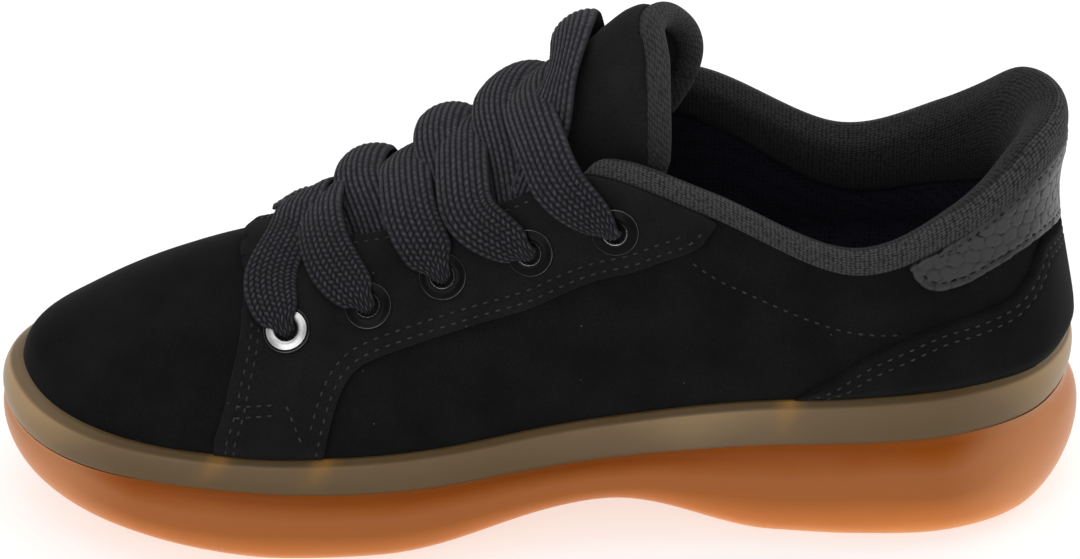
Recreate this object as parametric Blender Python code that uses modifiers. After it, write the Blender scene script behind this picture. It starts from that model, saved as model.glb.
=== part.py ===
"""Low suede sneaker on a two-step gum sole: one right shoe, empty and standing on its sole.

Frame: metres, +Z up. X runs along the shoe, toe at -X and heel at +X. The inner side of the
foot is at -Y and the outer side at +Y. The sole stands on Z = 0.

The upper is a wall that rises from the rim of the sole to the edge of the opening. RIBS holds
its profiles, one row for each, in order round the shoe from the toe along the inner side, round
the heel and back along the outer side. A place on the wall is (s, t): s counts ribs, t runs from
0 at the rim to 1 at the opening's edge. Every piece that lies on the wall is drawn in (s, t).
"""

import math
from typing import NamedTuple

import bmesh
import bpy
import numpy as np
from mathutils import Matrix, Vector

# Driving sizes, in metres
LENGTH = 0.280
BALL_WIDTH = 0.104
INSTEP_HEIGHT = 0.100
MM = 0.001

WALL = 2.4 * MM
GAP = 0.3 * MM
PANEL_GAP = 0.9 * MM
OVERLAY = 1.3 * MM
INSOLE_THICKNESS = 5.0 * MM
INSOLE_MARGIN = 1.2 * MM
TONGUE_THICKNESS = 6.0 * MM
TONGUE_BINDING_RADIUS = 3.2 * MM
EYELET_HOLE_RADIUS = 3.5 * MM
HOLE_REACH = 8.0 * MM
LACE_WIDTH = 14.0 * MM
LACE_THICKNESS = 1.8 * MM

ROUND_STEPS = 48
WALL_STEPS = 8
NEAR_PLACE = 0.08
TONGUE_RINGS = 18
EYELET_STEPS = 10
HOLE_STEPS = 10


class Rib(NamedTuple):
    """One profile of the wall. Shares are of LENGTH (x), BALL_WIDTH (y) and INSTEP_HEIGHT (z).

    rim is on the sole's ledge and edge is on the opening. The four pulls, in millimetres, shape
    the curve between them: lean and reach push out along the rim's normal, lift and fall up or down.
    """

    rim_x: float
    rim_y: float
    edge_x: float
    edge_y: float
    edge_z: float
    lean: float
    lift: float
    reach: float
    fall: float


RIBS = (
    Rib(-0.480, -0.014, -0.214, 0.000, 0.740, 3, 24, 40, 9),
    Rib(-0.455, -0.212, -0.212, -0.038, 0.742, 3, 23, 34, 9.5),
    Rib(-0.396, -0.346, -0.205, -0.082, 0.750, 3, 23, 27, 10),
    Rib(-0.307, -0.418, -0.184, -0.120, 0.770, 3, 25, 20, 10.5),
    Rib(-0.204, -0.433, -0.146, -0.154, 0.810, 3, 29, 15, 12),
    Rib(-0.100, -0.399, -0.096, -0.178, 0.865, 4, 32, 12, 13),
    Rib(0.000, -0.341, -0.029, -0.202, 0.935, 5, 34, 10, 16),
    Rib(0.093, -0.308, 0.043, -0.236, 1.035, 6, 34, 8, 20),
    Rib(0.189, -0.308, 0.150, -0.303, 0.955, 5, 29, 5, 22),
    Rib(0.286, -0.332, 0.275, -0.322, 0.800, 4, 24, 2, 17),
    Rib(0.375, -0.317, 0.371, -0.284, 0.880, 4, 24, 0, 20),
    Rib(0.448, -0.212, 0.441, -0.183, 0.980, 7, 26, -3, 22),
    Rib(0.480, 0.000, 0.470, 0.000, 0.995, 8.0, 26, -5, 22),
    Rib(0.448, 0.216, 0.441, 0.183, 0.980, 7, 26, -3, 22),
    Rib(0.375, 0.332, 0.371, 0.284, 0.880, 4, 24, 0, 20),
    Rib(0.286, 0.361, 0.275, 0.327, 0.805, 4, 24, 2, 17),
    Rib(0.189, 0.380, 0.150, 0.317, 0.975, 5, 29, 5, 22),
    Rib(0.086, 0.399, 0.043, 0.250, 1.035, 5, 30, 9, 20),
    Rib(-0.014, 0.423, -0.029, 0.212, 0.935, 4, 28, 10, 17),
    Rib(-0.114, 0.431, -0.096, 0.183, 0.865, 4, 26, 11, 14),
    Rib(-0.214, 0.428, -0.146, 0.154, 0.810, 3, 23, 9, 15),
    Rib(-0.311, 0.375, -0.184, 0.115, 0.770, 3, 19, 11, 14),
    Rib(-0.396, 0.284, -0.205, 0.077, 0.746, 3, 19, 19, 13),
    Rib(-0.457, 0.149, -0.212, 0.038, 0.740, 3, 21, 31, 11),
)
RIB_COUNT = len(RIBS)
HEEL_RIB = 12


class SoleStation(NamedTuple):
    """Heights of the outsole at one place along it: x as a share of LENGTH, heights in millimetres."""

    x: float
    ground: float
    ledge: float
    band: float


SOLE = (
    SoleStation(-0.500, 12.0, 26.0, 11.5),
    SoleStation(-0.390, 5.5, 23.0, 12.0),
    SoleStation(-0.310, 1.8, 21.2, 12.5),
    SoleStation(-0.235, 0.0, 20.5, 12.5),
    SoleStation(-0.145, 0.0, 20.8, 12.5),
    SoleStation(0.060, 11.0, 25.8, 13.0),
    SoleStation(0.215, 0.0, 29.0, 14.5),
    SoleStation(0.370, 0.0, 30.8, 15.0),
    SoleStation(0.440, 0.5, 31.5, 14.8),
    SoleStation(0.500, 3.0, 32.0, 14.0),
)


class SideStep(NamedTuple):
    """One line round the outsole's side: its height as a share of the side, and how far it stands
    out from the rim of the upper, in millimetres."""

    height: float
    out: float


OUTSOLE_SIDE = (
    SideStep(0.00, -5.0),
    SideStep(0.06, -1.0),
    SideStep(0.22, 3.2),
    SideStep(0.45, 5.4),
    SideStep(0.68, 5.6),
    SideStep(0.84, 4.4),
    SideStep(0.93, 2.6),
    SideStep(1.00, 2.4),
)


def periodic(rows, s):
    """Rows of a table at any place s round a closed loop, by a Catmull-Rom curve."""
    rows = np.asarray(rows, float)
    s = np.asarray(s, float)
    low = np.floor(s).astype(int)
    f = (s - low)[..., None]
    p = [rows[(low + k) % len(rows)] for k in (-1, 0, 1, 2)]
    return 0.5 * (
        2 * p[1]
        + (p[2] - p[0]) * f
        + (2 * p[0] - 5 * p[1] + 4 * p[2] - p[3]) * f**2
        + (3 * p[1] - p[0] - 3 * p[2] + p[3]) * f**3
    )


def smooth(places, values, at):
    """Values at places joined by a smooth curve that never overshoots, so equal neighbours stay flat."""
    places = np.asarray(places, float)
    values = np.asarray(values, float)
    span = np.diff(places)
    slope = np.diff(values) / span
    turn = slope[:-1] * slope[1:] <= 0
    total = np.where(turn, 1.0, slope[:-1] + slope[1:])
    bend = np.concatenate([[slope[0]], np.where(turn, 0.0, 2 * slope[:-1] * slope[1:] / total), [slope[-1]]])
    at = np.clip(at, places[0], places[-1])
    i = np.clip(np.searchsorted(places, at, side="right") - 1, 0, len(span) - 1)
    f = (at - places[i]) / span[i]
    return (
        values[i] * (1 + 2 * f) * (1 - f) ** 2
        + values[i + 1] * f * f * (3 - 2 * f)
        + span[i] * f * (1 - f) * (bend[i] * (1 - f) - bend[i + 1] * f)
    )


def sole_height(column, x):
    """One of the sole's heights, by its column in SOLE, at any x."""
    return smooth([r.x * LENGTH for r in SOLE], [getattr(r, column) * MM for r in SOLE], x)


def rim(s):
    """Plan of the rim at s, with its outward normal: two arrays of (x, y)."""
    scale = np.array([LENGTH, BALL_WIDTH])
    table = [(r.rim_x, r.rim_y) for r in RIBS]
    step = 0.02
    place = periodic(table, s) * scale
    along = (periodic(table, np.asarray(s) + step) - periodic(table, np.asarray(s) - step)) * scale
    normal = np.stack([along[..., 1], -along[..., 0]], axis=-1)
    return place, normal / np.linalg.norm(normal, axis=-1, keepdims=True)


def wall(s, t):
    """Points of the upper's outer face at (s, t)."""
    s, t = np.broadcast_arrays(np.asarray(s, float), np.asarray(t, float))
    rib = periodic(RIBS, s)
    plan, normal = rim(s)
    size = np.array([LENGTH, BALL_WIDTH, INSTEP_HEIGHT])
    foot = np.concatenate([plan, sole_height("ledge", plan[..., :1]) + GAP], axis=-1)
    edge = rib[..., 2:5] * size
    lean, lift, reach, fall = (rib[..., k : k + 1] * MM for k in (5, 6, 7, 8))
    lower = foot + np.concatenate([normal * lean, lift], axis=-1)
    upper = edge + np.concatenate([normal * reach, -fall], axis=-1)
    t = t[..., None]
    u = 1 - t
    return u**3 * foot + 3 * u * u * t * lower + 3 * u * t * t * upper + t**3 * edge


def wall_normal(s, t):
    """Outward unit normals of the wall at (s, t)."""
    step = 0.01
    s, t = np.broadcast_arrays(np.asarray(s, float), np.asarray(t, float))
    across = wall(s + step, t) - wall(s - step, t)
    up = wall(s, np.minimum(t + step, 1.0)) - wall(s, np.maximum(t - step, 0.0))
    normal = np.cross(across, up)
    return normal / np.linalg.norm(normal, axis=-1, keepdims=True)


def on_wall(s, t, out):
    """Points that stand out from the wall at (s, t) by a distance."""
    return wall(s, t) + wall_normal(s, t) * np.asarray(out, float)[..., None]


class EdgeStep(NamedTuple):
    """One place on the border of a panel: s in ribs and t up the wall. A t below the band's top
    means that the panel reaches down to the band."""

    s: float
    t: float


EYESTAY_BORDER = (
    EdgeStep(0.00, 0.870),
    EdgeStep(1.00, 0.830),
    EdgeStep(1.80, 0.740),
    EdgeStep(2.48, 0.580),
    EdgeStep(2.91, 0.372),
    EdgeStep(3.13, 0.000),
    EdgeStep(3.94, 0.000),
    EdgeStep(3.98, 0.430),
    EdgeStep(4.15, 0.490),
    EdgeStep(4.61, 0.520),
    EdgeStep(5.39, 0.552),
    EdgeStep(6.19, 0.575),
    EdgeStep(7.12, 0.635),
    EdgeStep(7.60, 0.750),
    EdgeStep(7.91, 0.873),
    EdgeStep(8.05, 0.975),
)
COUNTER_BORDER = (
    EdgeStep(8.46, 0.215),
    EdgeStep(8.78, 0.348),
    EdgeStep(9.15, 0.505),
    EdgeStep(9.71, 0.588),
    EdgeStep(10.20, 0.575),
    EdgeStep(10.60, 0.565),
    EdgeStep(10.90, 0.610),
    EdgeStep(11.18, 0.682),
    EdgeStep(11.50, 0.665),
    EdgeStep(12.00, 0.630),
)
TAB_BORDER = (
    EdgeStep(9.52, 0.970),
    EdgeStep(9.62, 0.900),
    EdgeStep(9.76, 0.812),
    EdgeStep(9.91, 0.763),
    EdgeStep(10.36, 0.758),
    EdgeStep(10.94, 0.733),
    EdgeStep(11.50, 0.690),
    EdgeStep(12.00, 0.645),
)
EYELETS = (
    EdgeStep(3.05, 0.628),
    EdgeStep(4.10, 0.688),
    EdgeStep(5.11, 0.745),
    EdgeStep(6.21, 0.765),
    EdgeStep(7.20, 0.802),
)


class BandStep(NamedTuple):
    """One corner of the band's section: height as a share of the band, distance from the wall in mm."""

    height: float
    out: float


BAND_SECTION = (
    BandStep(0.00, 0.35),
    BandStep(0.00, 3.40),
    BandStep(0.35, 3.80),
    BandStep(0.75, 3.50),
    BandStep(0.93, 2.60),
    BandStep(1.00, 1.40),
    BandStep(1.00, 0.35),
    BandStep(0.50, 0.35),
)


class CollarStation(NamedTuple):
    """The padded collar at one rib: how high it stands over the wall's edge, how thick its pad is
    inside, how far the pad hangs down, and how far its top flares out, all in millimetres."""

    s: float
    height: float
    pad: float
    drop: float
    flare: float


COLLAR = (
    CollarStation(7.08, 4.4, 2.4, 3.0, 0.0),
    CollarStation(7.50, 5.4, 3.4, 8.0, 0.0),
    CollarStation(8.00, 5.6, 4.6, 12.0, 0.0),
    CollarStation(9.00, 5.6, 6.0, 16.0, 0.0),
    CollarStation(9.70, 6.2, 6.5, 18.0, 0.2),
    CollarStation(10.40, 8.5, 7.0, 20.0, 0.5),
    CollarStation(11.00, 11.5, 7.5, 22.0, 0.4),
    CollarStation(12.00, 12.5, 7.5, 24.0, -0.4),
)


class TongueStation(NamedTuple):
    """One section of the tongue, in millimetres: its crest, half width, depth and thickness, and
    how far its outer side is set back and its crest is moved to the outer side."""

    x: float
    z: float
    half_width: float
    depth: float
    thickness: float
    turn: float
    side: float


TONGUE = (
    TongueStation(-76.0, 65.4, 10.0, 2.2, 2.0, 0.0, 0.0),
    TongueStation(-66.0, 68.0, 11.5, 3.8, 2.2, 0.0, 0.0),
    TongueStation(-59.0, 70.6, 13.0, 6.0, 3.0, 0.0, 0.0),
    TongueStation(-52.0, 76.5, 14.5, 9.0, 4.2, 0.0, 0.3),
    TongueStation(-38.0, 86.0, 17.5, 12.0, 5.2, 1.0, 0.8),
    TongueStation(-17.0, 97.5, 18.5, 15.0, 6.0, 2.5, 1.5),
    TongueStation(-1.0, 108.5, 18.0, 19.0, 6.2, 4.0, 2.2),
    TongueStation(9.0, 118.5, 17.5, 22.0, 6.2, 5.5, 3.0),
    TongueStation(15.5, 126.5, 17.0, 19.0, 6.2, 6.0, 3.6),
    TongueStation(20.0, 130.8, 15.5, 15.0, 6.0, 5.0, 4.0),
    TongueStation(23.0, 132.8, 13.0, 10.5, 5.6, 4.0, 4.2),
    TongueStation(24.8, 133.6, 9.5, 6.0, 5.0, 2.5, 4.3),
)
TONGUE_BOUND_FROM = 6.0


def clear_scene():
    """Empty the file of objects and meshes."""
    for item in list(bpy.data.objects):
        bpy.data.objects.remove(item, do_unlink=True)


def collection(name):
    """A new collection linked to the scene."""
    made = bpy.data.collections.new(name)
    bpy.context.scene.collection.children.link(made)
    return made


def place(name, verts, faces, group, colour=None):
    """A mesh object in a collection, with its own material when a colour is given."""
    mesh = bpy.data.meshes.new(name)
    mesh.from_pydata([tuple(map(float, v)) for v in verts], [], faces)
    mesh.validate()
    item = bpy.data.objects.new(name, mesh)
    group.objects.link(item)
    if colour is not None:
        material = bpy.data.materials.new(name)
        material.use_nodes = True
        material.node_tree.nodes["Principled BSDF"].inputs["Base Color"].default_value = (*colour, 1.0)
        mesh.materials.append(material)
    else:
        item.hide_render = True
        item.display_type = "WIRE"
    return item


def turn_outward(item):
    """Point a closed mesh's faces outward."""
    work = bmesh.new()
    work.from_mesh(item.data)
    bmesh.ops.recalc_face_normals(work, faces=work.faces)
    work.to_mesh(item.data)
    work.free()


def sheet(name, points, group, colour, closed=False):
    """A sheet through a grid of points (rows, columns, 3), faces outward from the shoe."""
    rows, columns = points.shape[:2]
    span = columns if closed else columns - 1
    faces = []
    for r in range(rows - 1):
        for c in range(span):
            d = (c + 1) % columns
            faces.append((r * columns + c, r * columns + d, (r + 1) * columns + d, (r + 1) * columns + c))
    return place(name, points.reshape(-1, 3), faces, group, colour)


def loft(name, rings, group, colour, closed=False):
    """A solid through closed rings (rings, points, 3): a loop of them, or capped at both ends."""
    count, size = rings.shape[:2]
    faces = []
    for r in range(count if closed else count - 1):
        q = (r + 1) % count
        for c in range(size):
            d = (c + 1) % size
            faces.append((r * size + c, r * size + d, q * size + d, q * size + c))
    if not closed:
        faces.append(tuple(range(size - 1, -1, -1)))
        faces.append(tuple((count - 1) * size + c for c in range(size)))
    item = place(name, rings.reshape(-1, 3), faces, group, colour)
    turn_outward(item)
    return item


def ladder(first, count):
    """Faces that close a ring of the shoe's plan with rungs from its inner to its outer side."""
    half = count // 2
    faces = [(first, first + 1, first + count - 1)]
    for i in range(1, half - 1):
        faces.append((first + i, first + i + 1, first + count - i - 1, first + count - i))
    faces.append((first + half - 1, first + half, first + half + 1))
    return faces


def slab(name, rings, group, colour):
    """A solid through rings of the shoe's plan, closed below and above by rungs."""
    count, size = rings.shape[:2]
    faces = []
    for r in range(count - 1):
        for c in range(size):
            d = (c + 1) % size
            faces.append((r * size + c, r * size + d, (r + 1) * size + d, (r + 1) * size + c))
    faces += ladder(0, size) + ladder((count - 1) * size, size)
    item = place(name, rings.reshape(-1, 3), faces, group, colour)
    turn_outward(item)
    return item


def thicken(item, thickness):
    """Give a sheet thickness: outward when positive, inward when negative."""
    shell = item.modifiers.new("thickness", "SOLIDIFY")
    shell.thickness = abs(thickness)
    shell.offset = 1.0 if thickness > 0 else -1.0
    shell.use_even_offset = False
    shell.use_rim = True


def combine(item, group, operation):
    """Cut or join a solid with every solid of a collection."""
    joint = item.modifiers.new(operation.lower(), "BOOLEAN")
    joint.operation = operation
    joint.operand_type = "COLLECTION"
    joint.collection = group
    joint.solver = "EXACT"


def rounds():
    """The places round the shoe that every large piece shares."""
    return np.arange(ROUND_STEPS) * RIB_COUNT / ROUND_STEPS


def height_to_t(s, z):
    """How far up the wall a height lies at s."""
    levels = np.linspace(0.0, 0.6, 61)
    heights = wall(np.asarray(s)[..., None], levels)[..., 2]
    flat = [np.interp(h, row, levels) for h, row in zip(np.ravel(z), heights.reshape(-1, len(levels)))]
    return np.reshape(flat, np.shape(z))


def band_top_t(s):
    """How far up the wall the band's top lies at s, with room for a panel to stop over it."""
    plan, _ = rim(s)
    z = sole_height("ledge", plan[..., 0]) + sole_height("band", plan[..., 0]) + 2 * GAP
    return height_to_t(s, z)


def mirrored(rows):
    """A border on the inner side followed by its copy on the outer side, heel in the middle."""
    near = [(r.s, r.t) for r in rows]
    far = [(RIB_COUNT - s, t) for s, t in reversed(near)]
    return near + [row for row in far if row[0] > near[-1][0]]


def wrapped(rows):
    """A border on the outer side followed by its copy on the inner side, toe in the middle."""
    near = [(r.s, r.t) for r in rows]
    return [(-s, t) for s, t in reversed(near) if s > 0] + near


def places_between(first, last, own=()):
    """Places from first to last: those that the upper's own mesh has, and any a piece adds."""
    shared = np.arange(-ROUND_STEPS, 2 * ROUND_STEPS) * RIB_COUNT / ROUND_STEPS
    own = np.array([first, *own, last])
    apart = np.min(np.abs(shared[:, None] - own), axis=1) > NEAR_PLACE
    inside = (shared > first) & (shared < last)
    return np.sort(np.concatenate([own, shared[inside & apart]]))


def border(rows):
    """A border as arrays of s and t, with the upper's own places between its rows."""
    s_rows, t_rows = np.transpose(rows)
    s = places_between(s_rows[0], s_rows[-1], s_rows[1:-1])
    return s, smooth(s_rows, t_rows, s)


def panel(name, s, low, high, rows, group, colour):
    """A panel that lies on the wall between two borders."""
    share = np.linspace(0.0, 1.0, rows + 1)[:, None]
    t = low + (high - low) * share
    item = sheet(name, on_wall(np.broadcast_to(s, t.shape), t, np.full(t.shape, PANEL_GAP)), group, colour)
    thicken(item, OVERLAY)
    return item


def make_upper(group, holes):
    """The hollow upper: one wall, open at the collar, down the throat and underneath."""
    s = rounds()
    t = np.linspace(0.0, 1.0, WALL_STEPS + 1)[:, None]
    item = sheet("upper", wall(s, t), group, (0.02, 0.02, 0.022), closed=True)
    thicken(item, -WALL)
    combine(item, holes, "DIFFERENCE")
    return item


def make_outsole(group):
    """The gum outsole: flat under ball and heel, arched between, bulging at its side."""
    plan, normal = rim(rounds())
    rings = []
    for step in OUTSOLE_SIDE:
        xy = plan + normal * step.out * MM
        low = sole_height("ground", xy[:, 0])
        high = sole_height("ledge", xy[:, 0])
        rings.append(np.column_stack([xy, low + (high - low) * step.height]))
    return slab("outsole", np.array(rings), group, (0.75, 0.42, 0.2))


def make_band(group):
    """The band that wraps the foot of the upper, all round."""
    s = rounds()
    plan, normal = rim(s)
    base = sole_height("ledge", plan[:, 0]) + GAP
    tall = sole_height("band", plan[:, 0]) - GAP
    corners = []
    for step in BAND_SECTION:
        z = base + tall * step.height
        on = wall(s, height_to_t(s, z))
        corners.append(np.column_stack([on[:, :2] + normal * step.out * MM, z]))
    return loft("sidewall_band", np.array(corners).transpose(1, 0, 2), group, (0.4, 0.36, 0.26), closed=True)


def make_insole(group):
    """The insole inside the wall, on the outsole's ledge."""
    plan, normal = rim(rounds())
    inset = WALL + INSOLE_MARGIN
    rings = []
    for level, more in ((0.0, 0.3), (0.6, 0.0), (1.0, 1.5)):
        xy = plan - normal * (inset + more * MM)
        z = sole_height("ledge", xy[:, 0]) + GAP + INSOLE_THICKNESS * level
        rings.append(np.column_stack([xy, z]))
    return slab("insole", np.array(rings), group, (0.05, 0.05, 0.055))


def make_eyestay(group, holes):
    """The facing round the throat, with a leg down to the band on each side."""
    s, low = border(wrapped(EYESTAY_BORDER))
    low = np.maximum(low, band_top_t(s))
    item = panel("eyestay", s, low, np.ones_like(s), 7, group, (0.022, 0.022, 0.024))
    combine(item, holes, "DIFFERENCE")
    return item


def make_heel_counter(group):
    """The panel round the heel over the band."""
    s, high = border(mirrored(COUNTER_BORDER))
    return panel("heel_counter", s, band_top_t(s), high, 4, group, (0.024, 0.024, 0.026))


def make_heel_tab(group):
    """The glossy panel at the top of the heel."""
    s, low = border(mirrored(TAB_BORDER))
    return panel("heel_tab", s, low, np.ones_like(s), 3, group, (0.05, 0.05, 0.052))


def collar_ring(s, height, pad, drop, flare):
    """The collar's section at s: over the wall's edge and down its inner face."""
    edge = wall(s, 1.0)
    out = wall_normal(s, 1.0)
    up = edge - wall(s, 0.97)
    length = np.linalg.norm(up) / 0.03
    up = up / np.linalg.norm(up)
    inside = WALL + 1.3 * GAP

    def over(o, u):
        return edge + out * o + up * u

    def within(o, share):
        return on_wall(s, 1.0 - drop * share / length, np.array(-(inside + o)))

    return np.array(
        [
            over(0.2 * MM, 1.2 * GAP),
            over(0.7 * MM + 0.4 * flare, 0.4 * height),
            over(0.2 * MM + flare, 0.78 * height),
            over(flare - 1.8 * MM, height),
            over(flare * 0.6 - 1.4 * MM - 0.55 * pad, 0.9 * height),
            over(-inside - 0.9 * pad, 0.4 * height),
            within(pad, 0.25),
            within(0.75 * pad, 0.65),
            within(0.6 * MM, 1.0),
            within(0.0 * MM, 0.95),
            within(0.0 * MM, 0.5),
            within(0.0 * MM, 0.2),
            over(-inside, 1.2 * GAP),
        ]
    )


def make_collar(group):
    """The padded roll on the wall's edge, from one end of the throat round the heel to the other."""
    far = [row._replace(s=RIB_COUNT - row.s) for row in reversed(COLLAR[:-1])]
    table = list(COLLAR) + far
    places = places_between(COLLAR[0].s, RIB_COUNT - COLLAR[0].s)
    keys = [row.s for row in table]
    sizes = [smooth(keys, [row[k] * MM for row in table], places) for k in (1, 2, 3, 4)]
    rings = np.array([collar_ring(s, *row) for s, row in zip(places, np.transpose(sizes))])
    return loft("collar", rings, group, (0.03, 0.03, 0.032))


def tongue_frame(k):
    """The tongue's sizes at station k, with its crest, its run upward and its face's direction."""
    index = np.arange(len(TONGUE))
    sizes = [float(smooth(index, [row[c] * MM for row in TONGUE], k)) for c in range(7)]
    step = 0.05
    ends = []
    for at in (max(k - step, 0.0), min(k + step, len(TONGUE) - 1.0)):
        ends.append(np.array([float(smooth(index, [row[c] * MM for row in TONGUE], at)) for c in (0, 1)]))
    run = (ends[1] - ends[0]) / np.linalg.norm(ends[1] - ends[0])
    return sizes, np.array([run[0], 0.0, run[1]]), np.array([-run[1], 0.0, run[0]])


def tongue_point(k, angle, inward=0.0):
    """A point of the tongue at station k, at an angle round its section, some way in from its face."""
    (x, z, half_width, depth, _, turn, side), _, face = tongue_frame(k)
    centre = np.array([x + turn * math.sin(angle), side, z]) - face * depth
    return centre + face * (depth - inward) * math.cos(angle) + np.array(
        [0.0, (half_width - inward) * math.sin(angle), 0.0]
    )


def tongue_angles(count):
    """Angles across the tongue from its inner to its outer edge."""
    return np.linspace(-0.5 * math.pi, 0.5 * math.pi, count)


def make_tongue(group):
    """The padded tongue, from under the vamp to its rounded top."""
    rings = []
    for k in np.linspace(0.0, len(TONGUE) - 1.0, TONGUE_RINGS):
        thickness = tongue_frame(k)[0][4]
        angles = tongue_angles(9)
        face = [tongue_point(k, a) for a in angles]
        back = [tongue_point(k, a, thickness * (1 - 0.35 * math.sin(a) ** 6)) for a in reversed(angles)]
        rings.append(face + back)
    return loft("tongue", np.array(rings), group, (0.02, 0.02, 0.022))


class TurnedStep(NamedTuple):
    """One corner of an eyelet's section, in millimetres: distance from its axis, height over the facing."""

    radius: float
    height: float


EYELET_SECTION = (
    TurnedStep(2.7, -3.8),
    TurnedStep(3.2, -3.8),
    TurnedStep(3.2, 0.35),
    TurnedStep(5.9, 0.35),
    TurnedStep(4.3, 1.35),
    TurnedStep(2.7, 1.05),
)


class Strand(NamedTuple):
    """One pass of the lace: the eyelet it comes out of, its side (-1 inner, 1 outer), and where
    along the shoe it crosses its own throat edge, the crest and the other throat edge, in mm."""

    eyelet: int
    side: int
    own_edge_x: float
    crest_x: float
    far_edge_x: float
    lift: float


LACE = (
    Strand(0, -1, -58.6, -55.0, -49.0, 5.2),
    Strand(0, 1, -57.8, -57.0, -54.0, 4.4),
    Strand(1, -1, -53.5, -51.0, -46.0, 3.6),
    Strand(1, 1, -39.0, -44.0, -43.0, 3.4),
    Strand(2, -1, -35.0, -32.5, -27.0, 2.2),
    Strand(2, 1, -19.0, -28.0, -26.0, 3.4),
    Strand(3, -1, -19.5, -18.5, -12.0, 2.2),
    Strand(3, 1, -1.5, -11.0, -9.0, 3.4),
    Strand(4, -1, 3.5, -1.5, 4.0, 2.2),
    Strand(4, 1, 11.5, 5.0, 2.0, 3.4),
)
LACE_STEPS = (-0.12, 0.0, 0.12, 0.3, 0.55, 0.8, 1.05, 1.3, 1.55, 1.75, 1.93)
LACE_STEP = 2.4 * MM
LACE_CLEAR = 0.5 * MM
LACE_DIVE = 3.0 * MM
FLANGE_LIFT = 5.8 * MM
LACE_ARCH = 2.6
FACING_SHARE = 0.4


def eyelet_axis(index, side):
    """Where an eyelet sits on the facing and which way it looks."""
    row = EYELETS[index]
    s = row.s if side < 0 else RIB_COUNT - row.s
    return on_wall(s, row.t, np.array(PANEL_GAP + OVERLAY)), wall_normal(s, row.t)


def axis_matrix(point, direction):
    """A frame at a point whose Z looks along a direction."""
    turn = Vector(direction).to_track_quat("Z", "Y").to_matrix().to_4x4()
    return Matrix.Translation(Vector(point)) @ turn


def make_eyelets(group):
    """A flanged ring in each hole of the facing, turned about its own axis."""
    for side, word in ((-1, "medial"), (1, "lateral")):
        for index in range(len(EYELETS)):
            count = len(EYELET_SECTION)
            verts = [(step.radius * MM, 0.0, step.height * MM) for step in EYELET_SECTION]
            item = place(f"eyelet_{word}_{index + 1}", verts, [], group, (0.015, 0.015, 0.016))
            item.data.edges.add(count)
            for k in range(count):
                item.data.edges[k].vertices = (k, (k + 1) % count)
            lathe = item.modifiers.new("turn", "SCREW")
            lathe.steps = lathe.render_steps = EYELET_STEPS
            lathe.use_merge_vertices = True
            lathe.merge_threshold = 0.01 * MM
            lathe.use_normal_calculate = True
            lathe.use_normal_flip = True
            item.matrix_world = axis_matrix(*eyelet_axis(index, side))


def make_holes(group):
    """Cutters for the eyelets' holes."""
    turn = np.arange(HOLE_STEPS) * 2 * math.pi / HOLE_STEPS
    circle = np.column_stack([np.cos(turn), np.sin(turn)]) * EYELET_HOLE_RADIUS
    rings = [np.column_stack([circle, np.full(HOLE_STEPS, z)]) for z in (-HOLE_REACH, HOLE_REACH)]
    for side, word in ((-1, "medial"), (1, "lateral")):
        for index in range(len(EYELETS)):
            item = loft(f"hole_{word}_{index + 1}", np.array(rings), group, None)
            item.matrix_world = axis_matrix(*eyelet_axis(index, side))


def tongue_facing(k, angle):
    """Which way the tongue's face looks at station k and an angle round its section."""
    (_, _, half_width, depth, *_), _, face = tongue_frame(k)
    facing = face * math.cos(angle) / depth + np.array([0.0, math.sin(angle) / half_width, 0.0])
    return facing / np.linalg.norm(facing)


def make_tongue_binding(group):
    """The rolled binding on the tongue's free edge: up one side, over the top and down the other."""
    last = len(TONGUE) - 1.0
    quarter = 0.5 * math.pi
    rise = [(k, quarter) for k in np.linspace(TONGUE_BOUND_FROM, last, 12)]
    places = [(k, -angle) for k, angle in rise] + [(last, a) for a in tongue_angles(7)[1:-1]] + rise[::-1]
    edge = np.array([tongue_point(k, a, 0.4 * tongue_frame(k)[0][4]) for k, a in places])
    away = np.cross(np.gradient(edge, axis=0), [tongue_facing(k, a) for k, a in places])
    path = edge + away / np.linalg.norm(away, axis=1, keepdims=True) * (TONGUE_BINDING_RADIUS + 2 * GAP)
    curve = bpy.data.curves.new("tongue_binding", "CURVE")
    curve.dimensions = "3D"
    curve.bevel_depth = TONGUE_BINDING_RADIUS
    curve.bevel_resolution = 1
    curve.use_fill_caps = True
    spline = curve.splines.new("POLY")
    spline.points.add(len(path) - 1)
    for point, at in zip(spline.points, path):
        point.co = (*map(float, at), 1.0)
    item = bpy.data.objects.new("tongue_binding", curve)
    group.objects.link(item)
    material = bpy.data.materials.new("tongue_binding")
    material.use_nodes = True
    material.node_tree.nodes["Principled BSDF"].inputs["Base Color"].default_value = (0.03, 0.03, 0.032, 1.0)
    curve.materials.append(material)


def crest_height(x):
    """How high the tongue's crest is at x."""
    return float(smooth([row.x * MM for row in TONGUE], [row.z * MM for row in TONGUE], x))


def lace_bed(s, v, side, out):
    """Where a lace may lie, some way out: on the facing for v from -1 to 0, and from the throat's
    edge at v = 0 over the tongue's crest at v = 1 to the other edge at v = 2."""
    own, other = (s, RIB_COUNT - s) if side < 0 else (RIB_COUNT - s, s)
    if v <= 0.0:
        return on_wall(own, 1.0 + FACING_SHARE * v, np.array(PANEL_GAP + OVERLAY + out))
    ends = [on_wall(at, 1.0, np.array(PANEL_GAP + OVERLAY + out)) for at in (own, other)]
    foot = ends[0] + (ends[1] - ends[0]) * 0.5 * v
    rise = max(crest_height(foot[0]) + out - foot[2], 0.0) * (1.0 - abs(v - 1.0) ** LACE_ARCH)
    return foot + np.array([0.0, 0.0, rise])


def throat_rib(x):
    """The rib at which the throat's edge lies at x."""
    s = np.linspace(0.0, 7.0, 141)
    return float(np.interp(x, wall(s, np.ones_like(s))[:, 0], s))


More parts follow.
